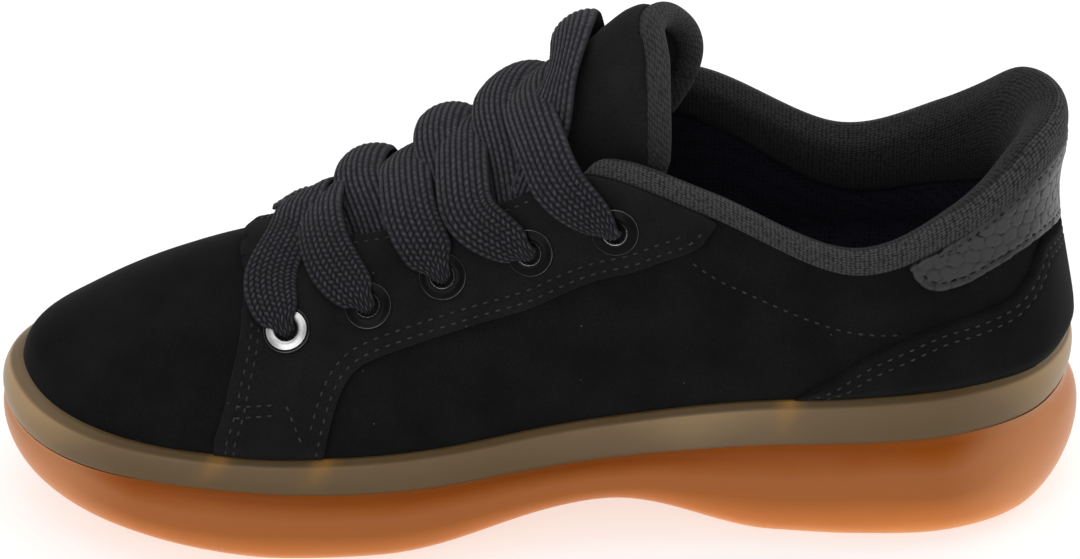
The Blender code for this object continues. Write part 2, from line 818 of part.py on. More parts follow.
def make_strand(name, strand, group, colour):
    """One pass of the lace as a flat ribbon: up out of its eyelet, over the crest, to the far edge."""
    start, look = eyelet_axis(strand.eyelet, strand.side)
    row = EYELETS[strand.eyelet]
    first = (row.t - 1.0) / FACING_SHARE
    keys = [first, 0.0, 1.0, 2.0]
    ribs = [row.s, *(throat_rib(x * MM) for x in strand[2:5])]
    steps = [*np.linspace(first + 0.15, LACE_STEPS[0], 4)[:-1], *LACE_STEPS]
    half = 0.5 * LACE_THICKNESS
    centre = [start - look * 2.0 * MM, start + look * 2.2 * MM]
    wide = [0.22, 0.22]
    facing = lace_bed(row.s + 0.1, first, strand.side, 0.0) - lace_bed(row.s - 0.1, first, strand.side, 0.0)
    facing /= np.linalg.norm(facing)
    across = [facing, facing]
    for v in steps:
        s = float(smooth(keys, ribs, v))
        over = LACE_CLEAR + half + strand.lift * MM * math.sin(0.5 * math.pi * min(max(v + 0.5, 0.0), 1.0))
        flange = FLANGE_LIFT * max(0.0, 1.0 - (v - first) / 0.6)
        dive = LACE_DIVE * max(0.0, (v - 1.55) / 0.38)
        point = lace_bed(s, v, strand.side, over + flange) - np.array([0.0, 0.0, dive])
        ends = [crest_height(point[0] + step) for step in (-MM, MM)]
        share = min(max((v - first) / (0.2 - first), 0.0), 1.0)
        centre.append(point)
        across.append(facing * (1.0 - share) + np.array([2 * MM, 0.0, ends[1] - ends[0]]) / (2 * MM) * share)
        wide.append(min(1.0, 0.36 + 0.95 * (v - first)))
    kept = [0]
    for i, point in enumerate(centre):
        if np.linalg.norm(point - centre[kept[-1]]) > LACE_STEP:
            kept.append(i)
    centre = np.array(centre)[kept]
    across = np.array(across)[kept]
    width = np.array(wide)[kept] * LACE_WIDTH
    ahead = np.gradient(centre, axis=0)
    ahead /= np.linalg.norm(ahead, axis=1, keepdims=True)
    across -= ahead * np.sum(across * ahead, axis=1, keepdims=True)
    across /= np.linalg.norm(across, axis=1, keepdims=True)
    up = np.cross(across, ahead)
    section = np.array([(0.5, 0.0), (0.36, 0.5), (-0.36, 0.5), (-0.5, 0.0), (-0.36, -0.5), (0.36, -0.5)])
    rings = (
        centre[:, None]
        + across[:, None] * (section[:, :1] * width[:, None, None])
        + up[:, None] * section[:, 1:] * LACE_THICKNESS
    )
    return loft(name, rings, group, colour)


def make_laces(group, strands):
    """The whole lace as one solid: its passes joined where they cross, from the top down."""
    top, *lower = reversed(LACE)
    item = make_strand("laces", top, group, (0.025, 0.025, 0.03))
    for strand in lower:
        name = f"pass_{strand.eyelet + 1}_{'inner' if strand.side < 0 else 'outer'}"
        joint = item.modifiers.new(name, "BOOLEAN")
        joint.operation = "UNION"
        joint.solver = "EXACT"
        joint.object = make_strand(name, strand, strands, None)


def main():
    """Build every node of the shoe."""
    clear_scene()
    shoe = collection("sneaker")
    holes = collection("cutters")
    passes = collection("lace passes")
    make_holes(holes)
    make_upper(shoe, holes)
    make_outsole(shoe)
    make_band(shoe)
    make_insole(shoe)
    make_eyestay(shoe, holes)
    make_heel_counter(shoe)
    make_heel_tab(shoe)
    make_collar(shoe)
    make_tongue(shoe)
    make_tongue_binding(shoe)
    make_eyelets(shoe)
    make_laces(shoe, passes)


if __name__ == "__main__":
    main()
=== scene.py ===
"""Looks of a low suede sneaker, one right shoe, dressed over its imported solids.

Frame: metres, +Z up, toe at -X, heel at +X, inner side of the foot at -Y, sole on Z = 0.
A place on the upper's wall is (s, t): s counts ribs round the shoe from the toe along the inner
side, t runs from 0 at the sole's rim to 1 at the edge of the opening.
"""

import logging
import math
from dataclasses import dataclass, field
from enum import Enum, IntEnum
from typing import Any, NamedTuple, Sequence

import bpy
import numpy as np
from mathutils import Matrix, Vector
from mathutils.geometry import delaunay_2d_cdt

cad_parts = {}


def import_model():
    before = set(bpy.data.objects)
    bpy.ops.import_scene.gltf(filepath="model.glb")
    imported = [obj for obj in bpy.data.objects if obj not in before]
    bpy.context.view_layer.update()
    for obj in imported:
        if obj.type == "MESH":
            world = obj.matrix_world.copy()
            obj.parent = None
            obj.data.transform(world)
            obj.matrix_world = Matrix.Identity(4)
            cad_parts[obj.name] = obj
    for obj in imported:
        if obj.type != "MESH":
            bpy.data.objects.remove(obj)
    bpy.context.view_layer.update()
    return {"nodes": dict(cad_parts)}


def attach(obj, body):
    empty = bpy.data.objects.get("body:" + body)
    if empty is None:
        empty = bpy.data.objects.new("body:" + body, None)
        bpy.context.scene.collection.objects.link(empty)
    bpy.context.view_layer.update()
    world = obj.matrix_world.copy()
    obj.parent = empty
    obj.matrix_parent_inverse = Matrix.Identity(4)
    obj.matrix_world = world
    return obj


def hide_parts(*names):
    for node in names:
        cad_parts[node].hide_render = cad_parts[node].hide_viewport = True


LOG = logging.getLogger("sneaker")
BODY = "root"
MM = 0.001

LENGTH = 0.280
BALL_WIDTH = 0.104
INSTEP_HEIGHT = 0.100
WALL = 2.4 * MM
GAP = 0.3 * MM
PANEL_GAP = 0.9 * MM
OVERLAY = 1.3 * MM
DOUBLES = 0.001 * MM
CREASE_ANGLE = math.radians(50)

Array = np.ndarray


class Rib(NamedTuple):
    """One profile of the wall: shares of length, width and height, then pulls in millimetres."""

    rim_x: float
    rim_y: float
    edge_x: float
    edge_y: float
    edge_z: float
    lean: float
    lift: float
    reach: float
    fall: float


RIBS = (
    Rib(-0.480, -0.014, -0.214, 0.000, 0.722, 3, 24, 40, 9),
    Rib(-0.455, -0.212, -0.212, -0.038, 0.725, 3, 23, 34, 9.5),
    Rib(-0.396, -0.346, -0.205, -0.082, 0.738, 3, 23, 27, 10),
    Rib(-0.307, -0.418, -0.184, -0.120, 0.770, 3, 25, 20, 10.5),
    Rib(-0.204, -0.433, -0.146, -0.154, 0.810, 3, 29, 15, 12),
    Rib(-0.100, -0.399, -0.096, -0.178, 0.865, 4, 32, 12, 13),
    Rib(0.000, -0.341, -0.029, -0.202, 0.935, 5, 34, 10, 16),
    Rib(0.093, -0.308, 0.043, -0.236, 1.035, 6, 34, 8, 20),
    Rib(0.189, -0.308, 0.150, -0.303, 0.955, 5, 29, 5, 22),
    Rib(0.286, -0.332, 0.275, -0.322, 0.800, 4, 24, 2, 17),
    Rib(0.375, -0.317, 0.371, -0.284, 0.880, 4, 24, 0, 20),
    Rib(0.448, -0.212, 0.439, -0.183, 0.980, 5.5, 26, -3, 22),
    Rib(0.480, 0.000, 0.466, 0.000, 0.995, 5.0, 26, -5, 22),
    Rib(0.448, 0.216, 0.439, 0.183, 0.980, 5.5, 26, -3, 22),
    Rib(0.375, 0.332, 0.371, 0.284, 0.880, 4, 24, 0, 20),
    Rib(0.286, 0.361, 0.275, 0.327, 0.805, 4, 24, 2, 17),
    Rib(0.189, 0.380, 0.150, 0.317, 0.975, 5, 29, 5, 22),
    Rib(0.086, 0.399, 0.043, 0.250, 1.035, 5, 30, 9, 20),
    Rib(-0.014, 0.423, -0.029, 0.212, 0.935, 4, 28, 10, 17),
    Rib(-0.114, 0.431, -0.096, 0.183, 0.865, 4, 26, 11, 14),
    Rib(-0.214, 0.428, -0.146, 0.154, 0.810, 3, 23, 9, 15),
    Rib(-0.311, 0.375, -0.184, 0.115, 0.770, 3, 19, 11, 14),
    Rib(-0.396, 0.284, -0.205, 0.077, 0.735, 3, 19, 19, 13),
    Rib(-0.457, 0.149, -0.212, 0.038, 0.724, 3, 21, 31, 11),
)
ROUND = len(RIBS)


class SoleStation(NamedTuple):
    """Heights of the outsole at a share of its length, in millimetres."""

    x: float
    ground: float
    ledge: float
    band: float


SOLE = (
    SoleStation(-0.500, 12.0, 26.0, 11.5),
    SoleStation(-0.390, 5.5, 23.0, 12.0),
    SoleStation(-0.310, 1.8, 21.2, 12.5),
    SoleStation(-0.235, 0.0, 20.5, 12.5),
    SoleStation(-0.145, 0.0, 20.8, 12.5),
    SoleStation(0.060, 11.0, 25.8, 13.0),
    SoleStation(0.215, 0.0, 29.0, 15.0),
    SoleStation(0.370, 0.0, 30.8, 16.4),
    SoleStation(0.440, 0.5, 31.5, 16.0),
    SoleStation(0.500, 3.0, 32.0, 15.0),
)


class Crease(NamedTuple):
    """A soft trough or ridge on the wall, between two places, with its height and width in mm."""

    s0: float
    t0: float
    s1: float
    t1: float
    height: float
    width: float


CREASES = (
    Crease(-2.6, 0.23, 2.60, 0.23, 0.60, 7.0),
    Crease(1.60, 0.62, 2.40, 0.34, -0.35, 5.0),
    Crease(1.25, 0.60, 1.90, 0.40, 0.25, 6.0),
    Crease(22.3, 0.66, 21.4, 0.36, -0.35, 5.0),
    Crease(4.60, 0.30, 6.90, 0.40, 0.55, 11.0),
    Crease(17.3, 0.40, 19.4, 0.30, 0.55, 11.0),
    Crease(7.90, 0.86, 9.60, 0.80, 0.70, 5.5),
    Crease(14.4, 0.80, 16.1, 0.86, 0.70, 5.5),
    Crease(9.70, 0.66, 11.2, 0.72, -0.45, 4.0),
    Crease(12.8, 0.72, 14.3, 0.66, -0.45, 4.0),
)


def periodic(rows: Sequence[Sequence[float]], s: Array) -> Array:
    """Rows of a table at any place round a closed loop, by a Catmull-Rom curve.

    Args:
        rows: the table, one row for each whole number.
        s: places round the loop.

    Returns:
        The rows at those places.
    """
    table = np.asarray(rows, float)
    s = np.asarray(s, float)
    low = np.floor(s).astype(int)
    f = (s - low)[..., None]
    p = [table[(low + k) % len(table)] for k in (-1, 0, 1, 2)]
    return 0.5 * (
        2 * p[1]
        + (p[2] - p[0]) * f
        + (2 * p[0] - 5 * p[1] + 4 * p[2] - p[3]) * f**2
        + (3 * p[1] - p[0] - 3 * p[2] + p[3]) * f**3
    )


def smooth(places: Sequence[float], values: Sequence[float], at: Any) -> Array:
    """Values at places joined by a smooth curve that never overshoots.

    Args:
        places: rising places.
        values: one value for each place.
        at: where the curve is read.

    Returns:
        The curve's values.
    """
    x = np.asarray(places, float)
    y = np.asarray(values, float)
    span = np.diff(x)
    slope = np.diff(y) / span
    turn = slope[:-1] * slope[1:] <= 0
    total = np.where(turn, 1.0, slope[:-1] + slope[1:])
    bend = np.concatenate([[slope[0]], np.where(turn, 0.0, 2 * slope[:-1] * slope[1:] / total), [slope[-1]]])
    at = np.clip(at, x[0], x[-1])
    i = np.clip(np.searchsorted(x, at, side="right") - 1, 0, len(span) - 1)
    f = (at - x[i]) / span[i]
    return (
        y[i] * (1 + 2 * f) * (1 - f) ** 2
        + y[i + 1] * f * f * (3 - 2 * f)
        + span[i] * f * (1 - f) * (bend[i] * (1 - f) - bend[i + 1] * f)
    )


def unit(vectors: Array) -> Array:
    """Vectors scaled to length one."""
    return vectors / np.maximum(np.linalg.norm(vectors, axis=-1, keepdims=True), 1e-12)


def ease(value: Any) -> Any:
    """A smooth step: 0 for values below 0, 1 above 1, with no corner between."""
    share = np.clip(value, 0.0, 1.0)
    return share * share * (3 - 2 * share)


def bell(distance: Any, width: float) -> Any:
    """A soft hump: 1 at no distance, fading over a width."""
    return np.exp(-((distance / width) ** 2))


def spline(points: Array, count: int, closed: bool = False) -> Array:
    """A Catmull-Rom curve through points, evenly spread over their number.

    Args:
        points: the points, one a row.
        count: how many points the curve gets.
        closed: whether it joins up.

    Returns:
        Points of the curve.
    """
    points = np.asarray(points, float)
    if closed:
        return periodic(points, np.arange(count) * len(points) / count)
    ends = np.vstack([2 * points[0] - points[1], points, 2 * points[-1] - points[-2]])
    at = 1.0 + np.linspace(0.0, len(points) - 1.0, count)
    at[-1] -= 1e-9
    return periodic(ends, at)


def arc_lengths(points: Array) -> Array:
    """Distance along a line of points from its start to each point."""
    return np.concatenate([[0.0], np.cumsum(np.linalg.norm(np.diff(points, axis=0), axis=1))])


class Last:
    """The shoe's shape: the wall of the upper over the rim of the sole.

    Above the band the suede swells, less so at the heel. Panels are drawn in where they go behind the
    band's lip and where they pass the wall's top edge.
    """

    STEP = 0.01
    RIM_STEP = 0.02
    SWELL = 1.4 * MM
    SWELL_RISE = 4.5 * MM
    SWELL_WIDTH = 6.5 * MM
    HEEL_FLAT = 0.8
    HEEL_RIBS = 1.6
    RIB_MM = 30.0
    RIBS_HIGH = 2.5
    LIP_DEPTH = 0.5 * MM
    LIP_EASE = 4.5 * MM
    LIP_ROOM = 0.4 * MM
    TOP_TUCK = 0.7 * MM
    TOP_EASE = 0.05

    @staticmethod
    def sole(column: str, x: Array) -> Array:
        """One of the sole's heights at x."""
        return smooth([r.x * LENGTH for r in SOLE], [getattr(r, column) * MM for r in SOLE], x)

    @classmethod
    def band_height(cls, x: Array) -> Array:
        """How high the band's top lies at x."""
        return cls.sole("ledge", x) + cls.sole("band", x)

    @classmethod
    def rim(cls, s: Array) -> tuple[Array, Array]:
        """Plan of the sole's rim at s, with its outward normal.

        Args:
            s: place round the shoe.

        Returns:
            Points in plan and unit normals.
        """
        scale = np.array([LENGTH, BALL_WIDTH])
        table = [(r.rim_x, r.rim_y) for r in RIBS]
        s = np.asarray(s, float)
        along = (periodic(table, s + cls.RIM_STEP) - periodic(table, s - cls.RIM_STEP)) * scale
        return periodic(table, s) * scale, unit(np.stack([along[..., 1], -along[..., 0]], axis=-1))

    @classmethod
    def wall(cls, s: Any, t: Any) -> Array:
        """Points of the upper's outer face at (s, t).

        Args:
            s: place round the shoe.
            t: share of the way up the wall.

        Returns:
            One point for each place.
        """
        s, t = np.broadcast_arrays(np.asarray(s, float), np.asarray(t, float))
        rib = periodic(RIBS, s)
        plan, normal = cls.rim(s)
        foot = np.concatenate([plan, cls.sole("ledge", plan[..., :1]) + GAP], axis=-1)
        edge = rib[..., 2:5] * np.array([LENGTH, BALL_WIDTH, INSTEP_HEIGHT])
        lean, lift, reach, fall = (rib[..., k : k + 1] * MM for k in (5, 6, 7, 8))
        lower = foot + np.concatenate([normal * lean, lift], axis=-1)
        upper = edge + np.concatenate([normal * reach, -fall], axis=-1)
        t = t[..., None]
        u = 1 - t
        return u**3 * foot + 3 * u * u * t * lower + 3 * u * t * t * upper + t**3 * edge

    @classmethod
    def normal(cls, s: Any, t: Any) -> Array:
        """Outward unit normals of the wall at (s, t).

        Args:
            s: place round the shoe.
            t: share of the way up the wall.

        Returns:
            One unit vector for each place.
        """
        s, t = np.broadcast_arrays(np.asarray(s, float), np.asarray(t, float))
        across = cls.wall(s + cls.STEP, t) - cls.wall(s - cls.STEP, t)
        up = cls.wall(s, t + cls.STEP) - cls.wall(s, np.maximum(t - cls.STEP, 0.0))
        return unit(np.cross(across, up))

    @classmethod
    def relief(cls, s: Array, t: Array) -> Array:
        """How far creases and soft padding stand out from the wall at (s, t).

        Args:
            s: place round the shoe.
            t: share of the way up the wall.

        Returns:
            Distances in metres.
        """
        s, t = np.asarray(s), np.asarray(t)
        plan, _ = cls.rim(s)
        swell = cls.band_height(plan[..., 0]) + cls.SWELL_RISE
        flat = 1.0 - cls.HEEL_FLAT * bell(s - ROUND / 2, cls.HEEL_RIBS)
        out = cls.SWELL * flat * bell(cls.wall(s, t)[..., 2] - swell, cls.SWELL_WIDTH)
        for row in CREASES:
            along = np.array([row.s1, row.t1 * cls.RIBS_HIGH]) - np.array([row.s0, row.t0 * cls.RIBS_HIGH])
            turn = (s - row.s0 + ROUND / 2) % ROUND - ROUND / 2
            here = np.stack([turn, (t - row.t0) * cls.RIBS_HIGH], axis=-1)
            share = np.clip(here @ along / (along @ along), 0.0, 1.0)
            away = np.linalg.norm(here - share[..., None] * along, axis=-1) * cls.RIB_MM
            out = out + row.height * MM * bell(away, row.width)
        return out

    @classmethod
    def on(cls, s: Any, t: Any, out: Any) -> Array:
        """Points that stand out from the creased wall at (s, t) by a distance.

        Args:
            s: place round the shoe.
            t: share of the way up the wall.
            out: distance from the wall.

        Returns:
            One point for each place.
        """
        s, t = np.broadcast_arrays(np.asarray(s, float), np.asarray(t, float))
        away = np.asarray(out, float) + cls.relief(s, t)
        return cls.wall(s, t) + cls.normal(s, t) * away[..., None]

    @classmethod
    def t_at(cls, s: Array, z: Array) -> Array:
        """How far up the wall a height lies at s.

        Args:
            s: place round the shoe.
            z: height above the floor.

        Returns:
            Shares of the way up the wall.
        """
        levels = np.linspace(0.0, 0.6, 61)
        heights = cls.wall(np.asarray(s)[..., None], levels)[..., 2]
        flat = [np.interp(h, row, levels) for h, row in zip(np.ravel(z), heights.reshape(-1, len(levels)))]
        return np.reshape(flat, np.shape(z))

    @classmethod
    def band_top(cls, s: Array) -> Array:
        """How far up the wall the band's top lies at s."""
        plan, _ = cls.rim(s)
        return cls.t_at(s, cls.band_height(plan[..., 0]))

    @classmethod
    def tucked(cls, s: Array, t: Array, out: Any) -> Array:
        """A panel's distance from the wall, drawn in where its foot tucks behind the band's lip.

        Args:
            s: place round the shoe.
            t: share of the way up the wall.
            out: distance before the tuck.

        Returns:
            Distances in metres.
        """
        plan, _ = cls.rim(s)
        above = cls.wall(s, t)[..., 2] - cls.band_height(plan[..., 0])
        free = ease((above + cls.LIP_DEPTH) / cls.LIP_EASE)
        over = np.clip((np.asarray(t) - 1.0) / cls.TOP_EASE, 0.0, 1.0) * cls.TOP_TUCK
        return out * free + np.minimum(out, cls.LIP_ROOM) * (1 - free) - np.minimum(over, 0.5 * out)

    @classmethod
    def beside(cls, line: Array, distance: float) -> Array:
        """A line on the wall, moved to its left by a distance.

        Args:
            line: places (s, t), one a row.
            distance: how far to the left, seen from outside, in metres.

        Returns:
            The moved places.
        """
        s, t = line.T
        d_s = (cls.wall(s + cls.STEP, t) - cls.wall(s - cls.STEP, t)) / (2 * cls.STEP)
        low, high = np.maximum(t - cls.STEP, 0.0), t + cls.STEP
        d_t = (cls.wall(s, high) - cls.wall(s, low)) / (high - low)[:, None]
        side = unit(np.cross(cls.normal(s, t), np.gradient(cls.wall(s, t), axis=0))) * distance
        a, b, c = (np.sum(x * y, axis=1) for x, y in ((d_s, d_s), (d_s, d_t), (d_t, d_t)))
        p, q = np.sum(d_s * side, axis=1), np.sum(d_t * side, axis=1)
        scale = a * c - b * b
        return line + np.stack([(c * p - b * q) / scale, (a * q - b * p) / scale], axis=1)

    @classmethod
    def resample(cls, line: Array, step: float) -> Array:
        """A line of places (s, t) with an even step along the wall, in metres.

        Args:
            line: rows of (s, t).
            step: length of one step.

        Returns:
            The line's new rows.
        """
        fine = spline(line, 40 * len(line))
        run = arc_lengths(cls.wall(fine[:, 0], fine[:, 1]))
        at = np.linspace(0.0, run[-1], max(int(round(run[-1] / step)), 2) + 1)
        return np.stack([np.interp(at, run, fine[:, k]) for k in (0, 1)], axis=1)


def linear(code: str) -> tuple[float, float, float, float]:
    """An sRGB hex colour as linear RGBA."""
    parts = [int(code[k : k + 2], 16) / 255 for k in (1, 3, 5)]
    return (*(p / 12.92 if p <= 0.04045 else ((p + 0.055) / 1.055) ** 2.4 for p in parts), 1.0)


def per_metre(size_mm: float) -> float:
    """How often a pattern of a size in millimetres repeats in a metre."""
    return 1 / (size_mm * MM)


class Tone(NamedTuple):
    """A colour at one level of a ramp, from 0 to 1."""

    level: float
    colour: str


def add_node(
    tree: bpy.types.NodeTree, kind: str, sockets: dict[Any, Any], tones: Sequence[Tone] = (), **settings: Any
) -> bpy.types.Node:
    """Add a node to a material.

    Args:
        tree: the material's node tree.
        kind: the node's type name.
        sockets: for each input, a value or the output socket that feeds it.
        tones: the colours of a ramp, lowest first.
        settings: properties of the node.

    Returns:
        The new node.
    """
    node = tree.nodes.new(kind)
    for name, value in settings.items():
        setattr(node, name, value)
    for name, value in sockets.items():
        if isinstance(value, bpy.types.NodeSocket):
            tree.links.new(value, node.inputs[name])
        else:
            node.inputs[name].default_value = value
    if tones:
        elements = node.color_ramp.elements
        for _ in tones[2:]:
            elements.new(0.5)
        for tone, element in zip(tones, elements):
            element.position = tone.level
            element.color = linear(tone.colour)
    return node


def new_material(name: str, **sockets: Any) -> tuple[bpy.types.Material, bpy.types.NodeTree, bpy.types.Node]:
    """A material with constants set on its shader's own sockets.

    Args:
        name: the material's name.
        sockets: shader inputs, with underscores for spaces.

    Returns:
        The material, its tree and its shader.
    """
    material = bpy.data.materials.new(name)
    material.use_nodes = True
    tree = material.node_tree
    shader = tree.nodes["Principled BSDF"]
    for key, value in sockets.items():
        shader.inputs[key.replace("_", " ")].default_value = value
    return material, tree, shader


class Finish:
    """A surface finish that can make its own Blender material, once."""

    name: str

    def make(self) -> bpy.types.Material:
        """Build the material's nodes."""
        raise NotImplementedError

    def material(self) -> bpy.types.Material:
        """The finish's material, made on first use."""
        return bpy.data.materials.get(self.name) or self.make()


@dataclass(frozen=True)
class Suede(Finish):
    """Split leather buffed to a nap: matt, with a soft sheen, fine fibres and brushed patches."""

    name: str = "buffed_suede"
    dark: str = "#0d0d0d"
    light: str = "#171718"
    lint: str = "#5a5a5a"
    # Real nap is finer than a pixel, so its fibres are drawn several times as coarse.
    fibre_mm: float = 0.45
    patch_mm: float = 16.0
    lint_mm: float = 2.6
    lint_reach: float = 0.055
    lint_free: float = 0.93

    def make(self) -> bpy.types.Material:
        """Fibres as bump, brushed patches and stray lint as colour.

        Returns:
            The finished material.
        """
        material, tree, shader = new_material(
            self.name, Roughness=0.93, Sheen_Weight=0.03, Sheen_Roughness=0.4, Specular_IOR_Level=0.03
        )
        place = add_node(tree, "ShaderNodeTexCoord", {}).outputs["Object"]
        nap = {"Vector": place, "Scale": per_metre(self.fibre_mm), "Detail": 3.0}
        fibre = add_node(tree, "ShaderNodeTexNoise", nap)
        brushed = {"Vector": place, "Scale": per_metre(self.patch_mm), "Detail": 4.0}
        patch = add_node(tree, "ShaderNodeTexNoise", brushed)
        both = add_node(
            tree, "ShaderNodeMath", {0: fibre.outputs["Fac"], 1: patch.outputs["Fac"]}, operation="MULTIPLY"
        )
        tones = (Tone(0.12, self.dark), Tone(0.42, self.light))
        tone = add_node(tree, "ShaderNodeValToRGB", {"Fac": both.outputs[0]}, tones)
        spread = {"Vector": place, "Scale": per_metre(self.lint_mm), "Randomness": 1.0}
        specks = add_node(tree, "ShaderNodeTexVoronoi", spread)
        reach = {0: specks.outputs["Distance"], 1: self.lint_reach}
        near = add_node(tree, "ShaderNodeMath", reach, operation="LESS_THAN")
        rare = add_node(tree, "ShaderNodeSeparateColor", {"Color": specks.outputs["Color"]})
        chosen = {0: rare.outputs[0], 1: self.lint_free}
        few = add_node(tree, "ShaderNodeMath", chosen, operation="GREATER_THAN")
        lint = add_node(tree, "ShaderNodeMath", {0: near.outputs[0], 1: few.outputs[0]}, operation="MULTIPLY")
        colour = add_node(
            tree,
            "ShaderNodeMix",
            {"Factor": lint.outputs[0], 6: tone.outputs["Color"], 7: linear(self.lint)},
            data_type="RGBA",
        )
        bump = add_node(
            tree, "ShaderNodeBump", {"Height": fibre.outputs["Fac"], "Strength": 0.35, "Distance": 0.25 * MM}
        )
        tree.links.new(colour.outputs[2], shader.inputs["Base Color"])
        tree.links.new(bump.outputs["Normal"], shader.inputs["Normal"])
        return material


@dataclass(frozen=True)
class Knit(Finish):
    """Knitted fabric in rows of small loops: grey yarn over dark gaps, drawn along the piece's own UV."""

    name: str = "loop_knit"
    yarn: str = "#3f3f40"
    gap: str = "#1c1c1d"
    wale_mm: float = 0.8
    course_mm: float = 1.15
    slant: float = 0.0

    def make(self) -> bpy.types.Material:
        """Loops as cells on the UV map, in millimetres.

        Returns:
            The finished material.
        """
        material, tree, shader = new_material(
            self.name, Roughness=0.85, Sheen_Weight=0.04, Sheen_Roughness=0.5, Specular_IOR_Level=0.05
        )
        place = add_node(tree, "ShaderNodeUVMap", {}, uv_map="UVMap").outputs["UV"]
        scale = (1 / self.course_mm, 1 / self.wale_mm, 1.0)
        turned = add_node(
            tree, "ShaderNodeMapping", {"Vector": place, "Rotation": (0, 0, self.slant), "Scale": scale}
        )
        loops = add_node(
            tree, "ShaderNodeTexVoronoi", {"Vector": turned.outputs[0], "Scale": 1.0, "Randomness": 0.32}
        )
        tones = (Tone(0.25, self.yarn), Tone(0.62, self.gap))
        tone = add_node(tree, "ShaderNodeValToRGB", {"Fac": loops.outputs["Distance"]}, tones)
        bump = add_node(
            tree,
            "ShaderNodeBump",
            {"Height": loops.outputs["Distance"], "Strength": 0.7, "Distance": 0.5 * MM},
            invert=True,
        )
        tree.links.new(tone.outputs["Color"], shader.inputs["Base Color"])
        tree.links.new(bump.outputs["Normal"], shader.inputs["Normal"])
        return material


@dataclass(frozen=True)
class Lining(Finish):
    """Spacer mesh lining: dark cloth with small open cells."""

    name: str = "spacer_mesh"
    yarn: str = "#26242e"
    gap: str = "#17161c"
    cell_mm: float = 1.3

    def make(self) -> bpy.types.Material:
        """Open cells in all directions.

        Returns:
            The finished material.
        """
        material, tree, shader = new_material(self.name, Roughness=0.9, Specular_IOR_Level=0.05)
        place = add_node(tree, "ShaderNodeTexCoord", {}).outputs["Object"]
        mesh = {"Vector": place, "Scale": per_metre(self.cell_mm), "Randomness": 0.35}
        cells = add_node(tree, "ShaderNodeTexVoronoi", mesh).outputs["Distance"]
        tones = (Tone(0.2, self.gap), Tone(0.45, self.yarn))
        tone = add_node(tree, "ShaderNodeValToRGB", {"Fac": cells}, tones)
        bump = add_node(tree, "ShaderNodeBump", {"Height": cells, "Strength": 0.5, "Distance": 0.4 * MM})
        tree.links.new(tone.outputs["Color"], shader.inputs["Base Color"])
        tree.links.new(bump.outputs["Normal"], shader.inputs["Normal"])
        return material


@dataclass(frozen=True)
class EmbossedLeather(Finish):
    """Leather pressed with a reptile grain and polished: grey, with a glossy coat and fine pores."""

    name: str = "polished_reptile_leather"
    face: str = "#252526"
    groove: str = "#060607"
    # Real pores are finer than a pixel, so they are drawn coarser.
    pore_mm: float = 0.6

    def make(self) -> bpy.types.Material:
        """Dark grooves from the mesh's own depth, fine pores as bump.

        Returns:
            The finished material.
        """
        material, tree, shader = new_material(
            self.name, Roughness=0.42, Specular_IOR_Level=0.24, Coat_Weight=0.1, Coat_Roughness=0.25
        )
        place = add_node(tree, "ShaderNodeTexCoord", {}).outputs["Object"]
        depth = add_node(tree, "ShaderNodeAttribute", {}, attribute_name="relief").outputs["Fac"]
        skin = {"Vector": place, "Scale": per_metre(self.pore_mm), "Detail": 2.0}
        pores = add_node(tree, "ShaderNodeTexNoise", skin)
        tones = (Tone(0.0, self.groove), Tone(1.0, self.face))
        tone = add_node(tree, "ShaderNodeValToRGB", {"Fac": depth}, tones)
        bump = add_node(
            tree, "ShaderNodeBump", {"Height": pores.outputs["Fac"], "Strength": 0.25, "Distance": 0.2 * MM}
        )
        tree.links.new(tone.outputs["Color"], shader.inputs["Base Color"])
        tree.links.new(bump.outputs["Normal"], shader.inputs["Normal"])
        return material


@dataclass(frozen=True)
class Gum(Finish):
    """Moulded natural rubber: translucent, so light spreads inside it, with a smooth gloss."""

    name: str
    tones: tuple[Tone, ...]
    # Colour of painted light that the glow attribute mixes in.
    painted_light: str = ""
    spread_mm: float = 5.0
    cloud_mm: float = 22.0
    cloud: float = 0.12
    weight: float = 0.35

    def make(self) -> bpy.types.Material:
        """Tones by the mesh's own attribute, clouded a little, over scattering.

        Returns:
            The finished material.
        """
        material, tree, shader = new_material(
            self.name,
            Roughness=0.33,
            Specular_IOR_Level=0.1,
            Subsurface_Weight=self.weight,
            Subsurface_Radius=(1.0, 0.5, 0.25),
            Subsurface_Scale=self.spread_mm * MM,
        )
        place = add_node(tree, "ShaderNodeTexCoord", {}).outputs["Object"]
        level = add_node(tree, "ShaderNodeAttribute", {}, attribute_name="tone").outputs["Fac"]
        milk = {"Vector": place, "Scale": per_metre(self.cloud_mm), "Detail": 2.0}
        cloud = add_node(tree, "ShaderNodeTexNoise", milk)
        clouded = {0: cloud.outputs["Fac"], 1: self.cloud, 2: level}
        mixed = add_node(tree, "ShaderNodeMath", clouded, operation="MULTIPLY_ADD")
        colour = add_node(tree, "ShaderNodeValToRGB", {"Fac": mixed.outputs[0]}, self.tones).outputs["Color"]
        # Painted light: a share of a lighter colour by the glow attribute, for painted glints and glows.
        if self.painted_light:
            glow = add_node(tree, "ShaderNodeAttribute", {}, attribute_name="glow").outputs["Fac"]
            mix = add_node(
                tree, "ShaderNodeMix", {"Factor": glow, 6: colour, 7: linear(self.painted_light)}, data_type="RGBA"
            )
            colour = mix.outputs[2]
        tree.links.new(colour, shader.inputs["Base Color"])
        return material


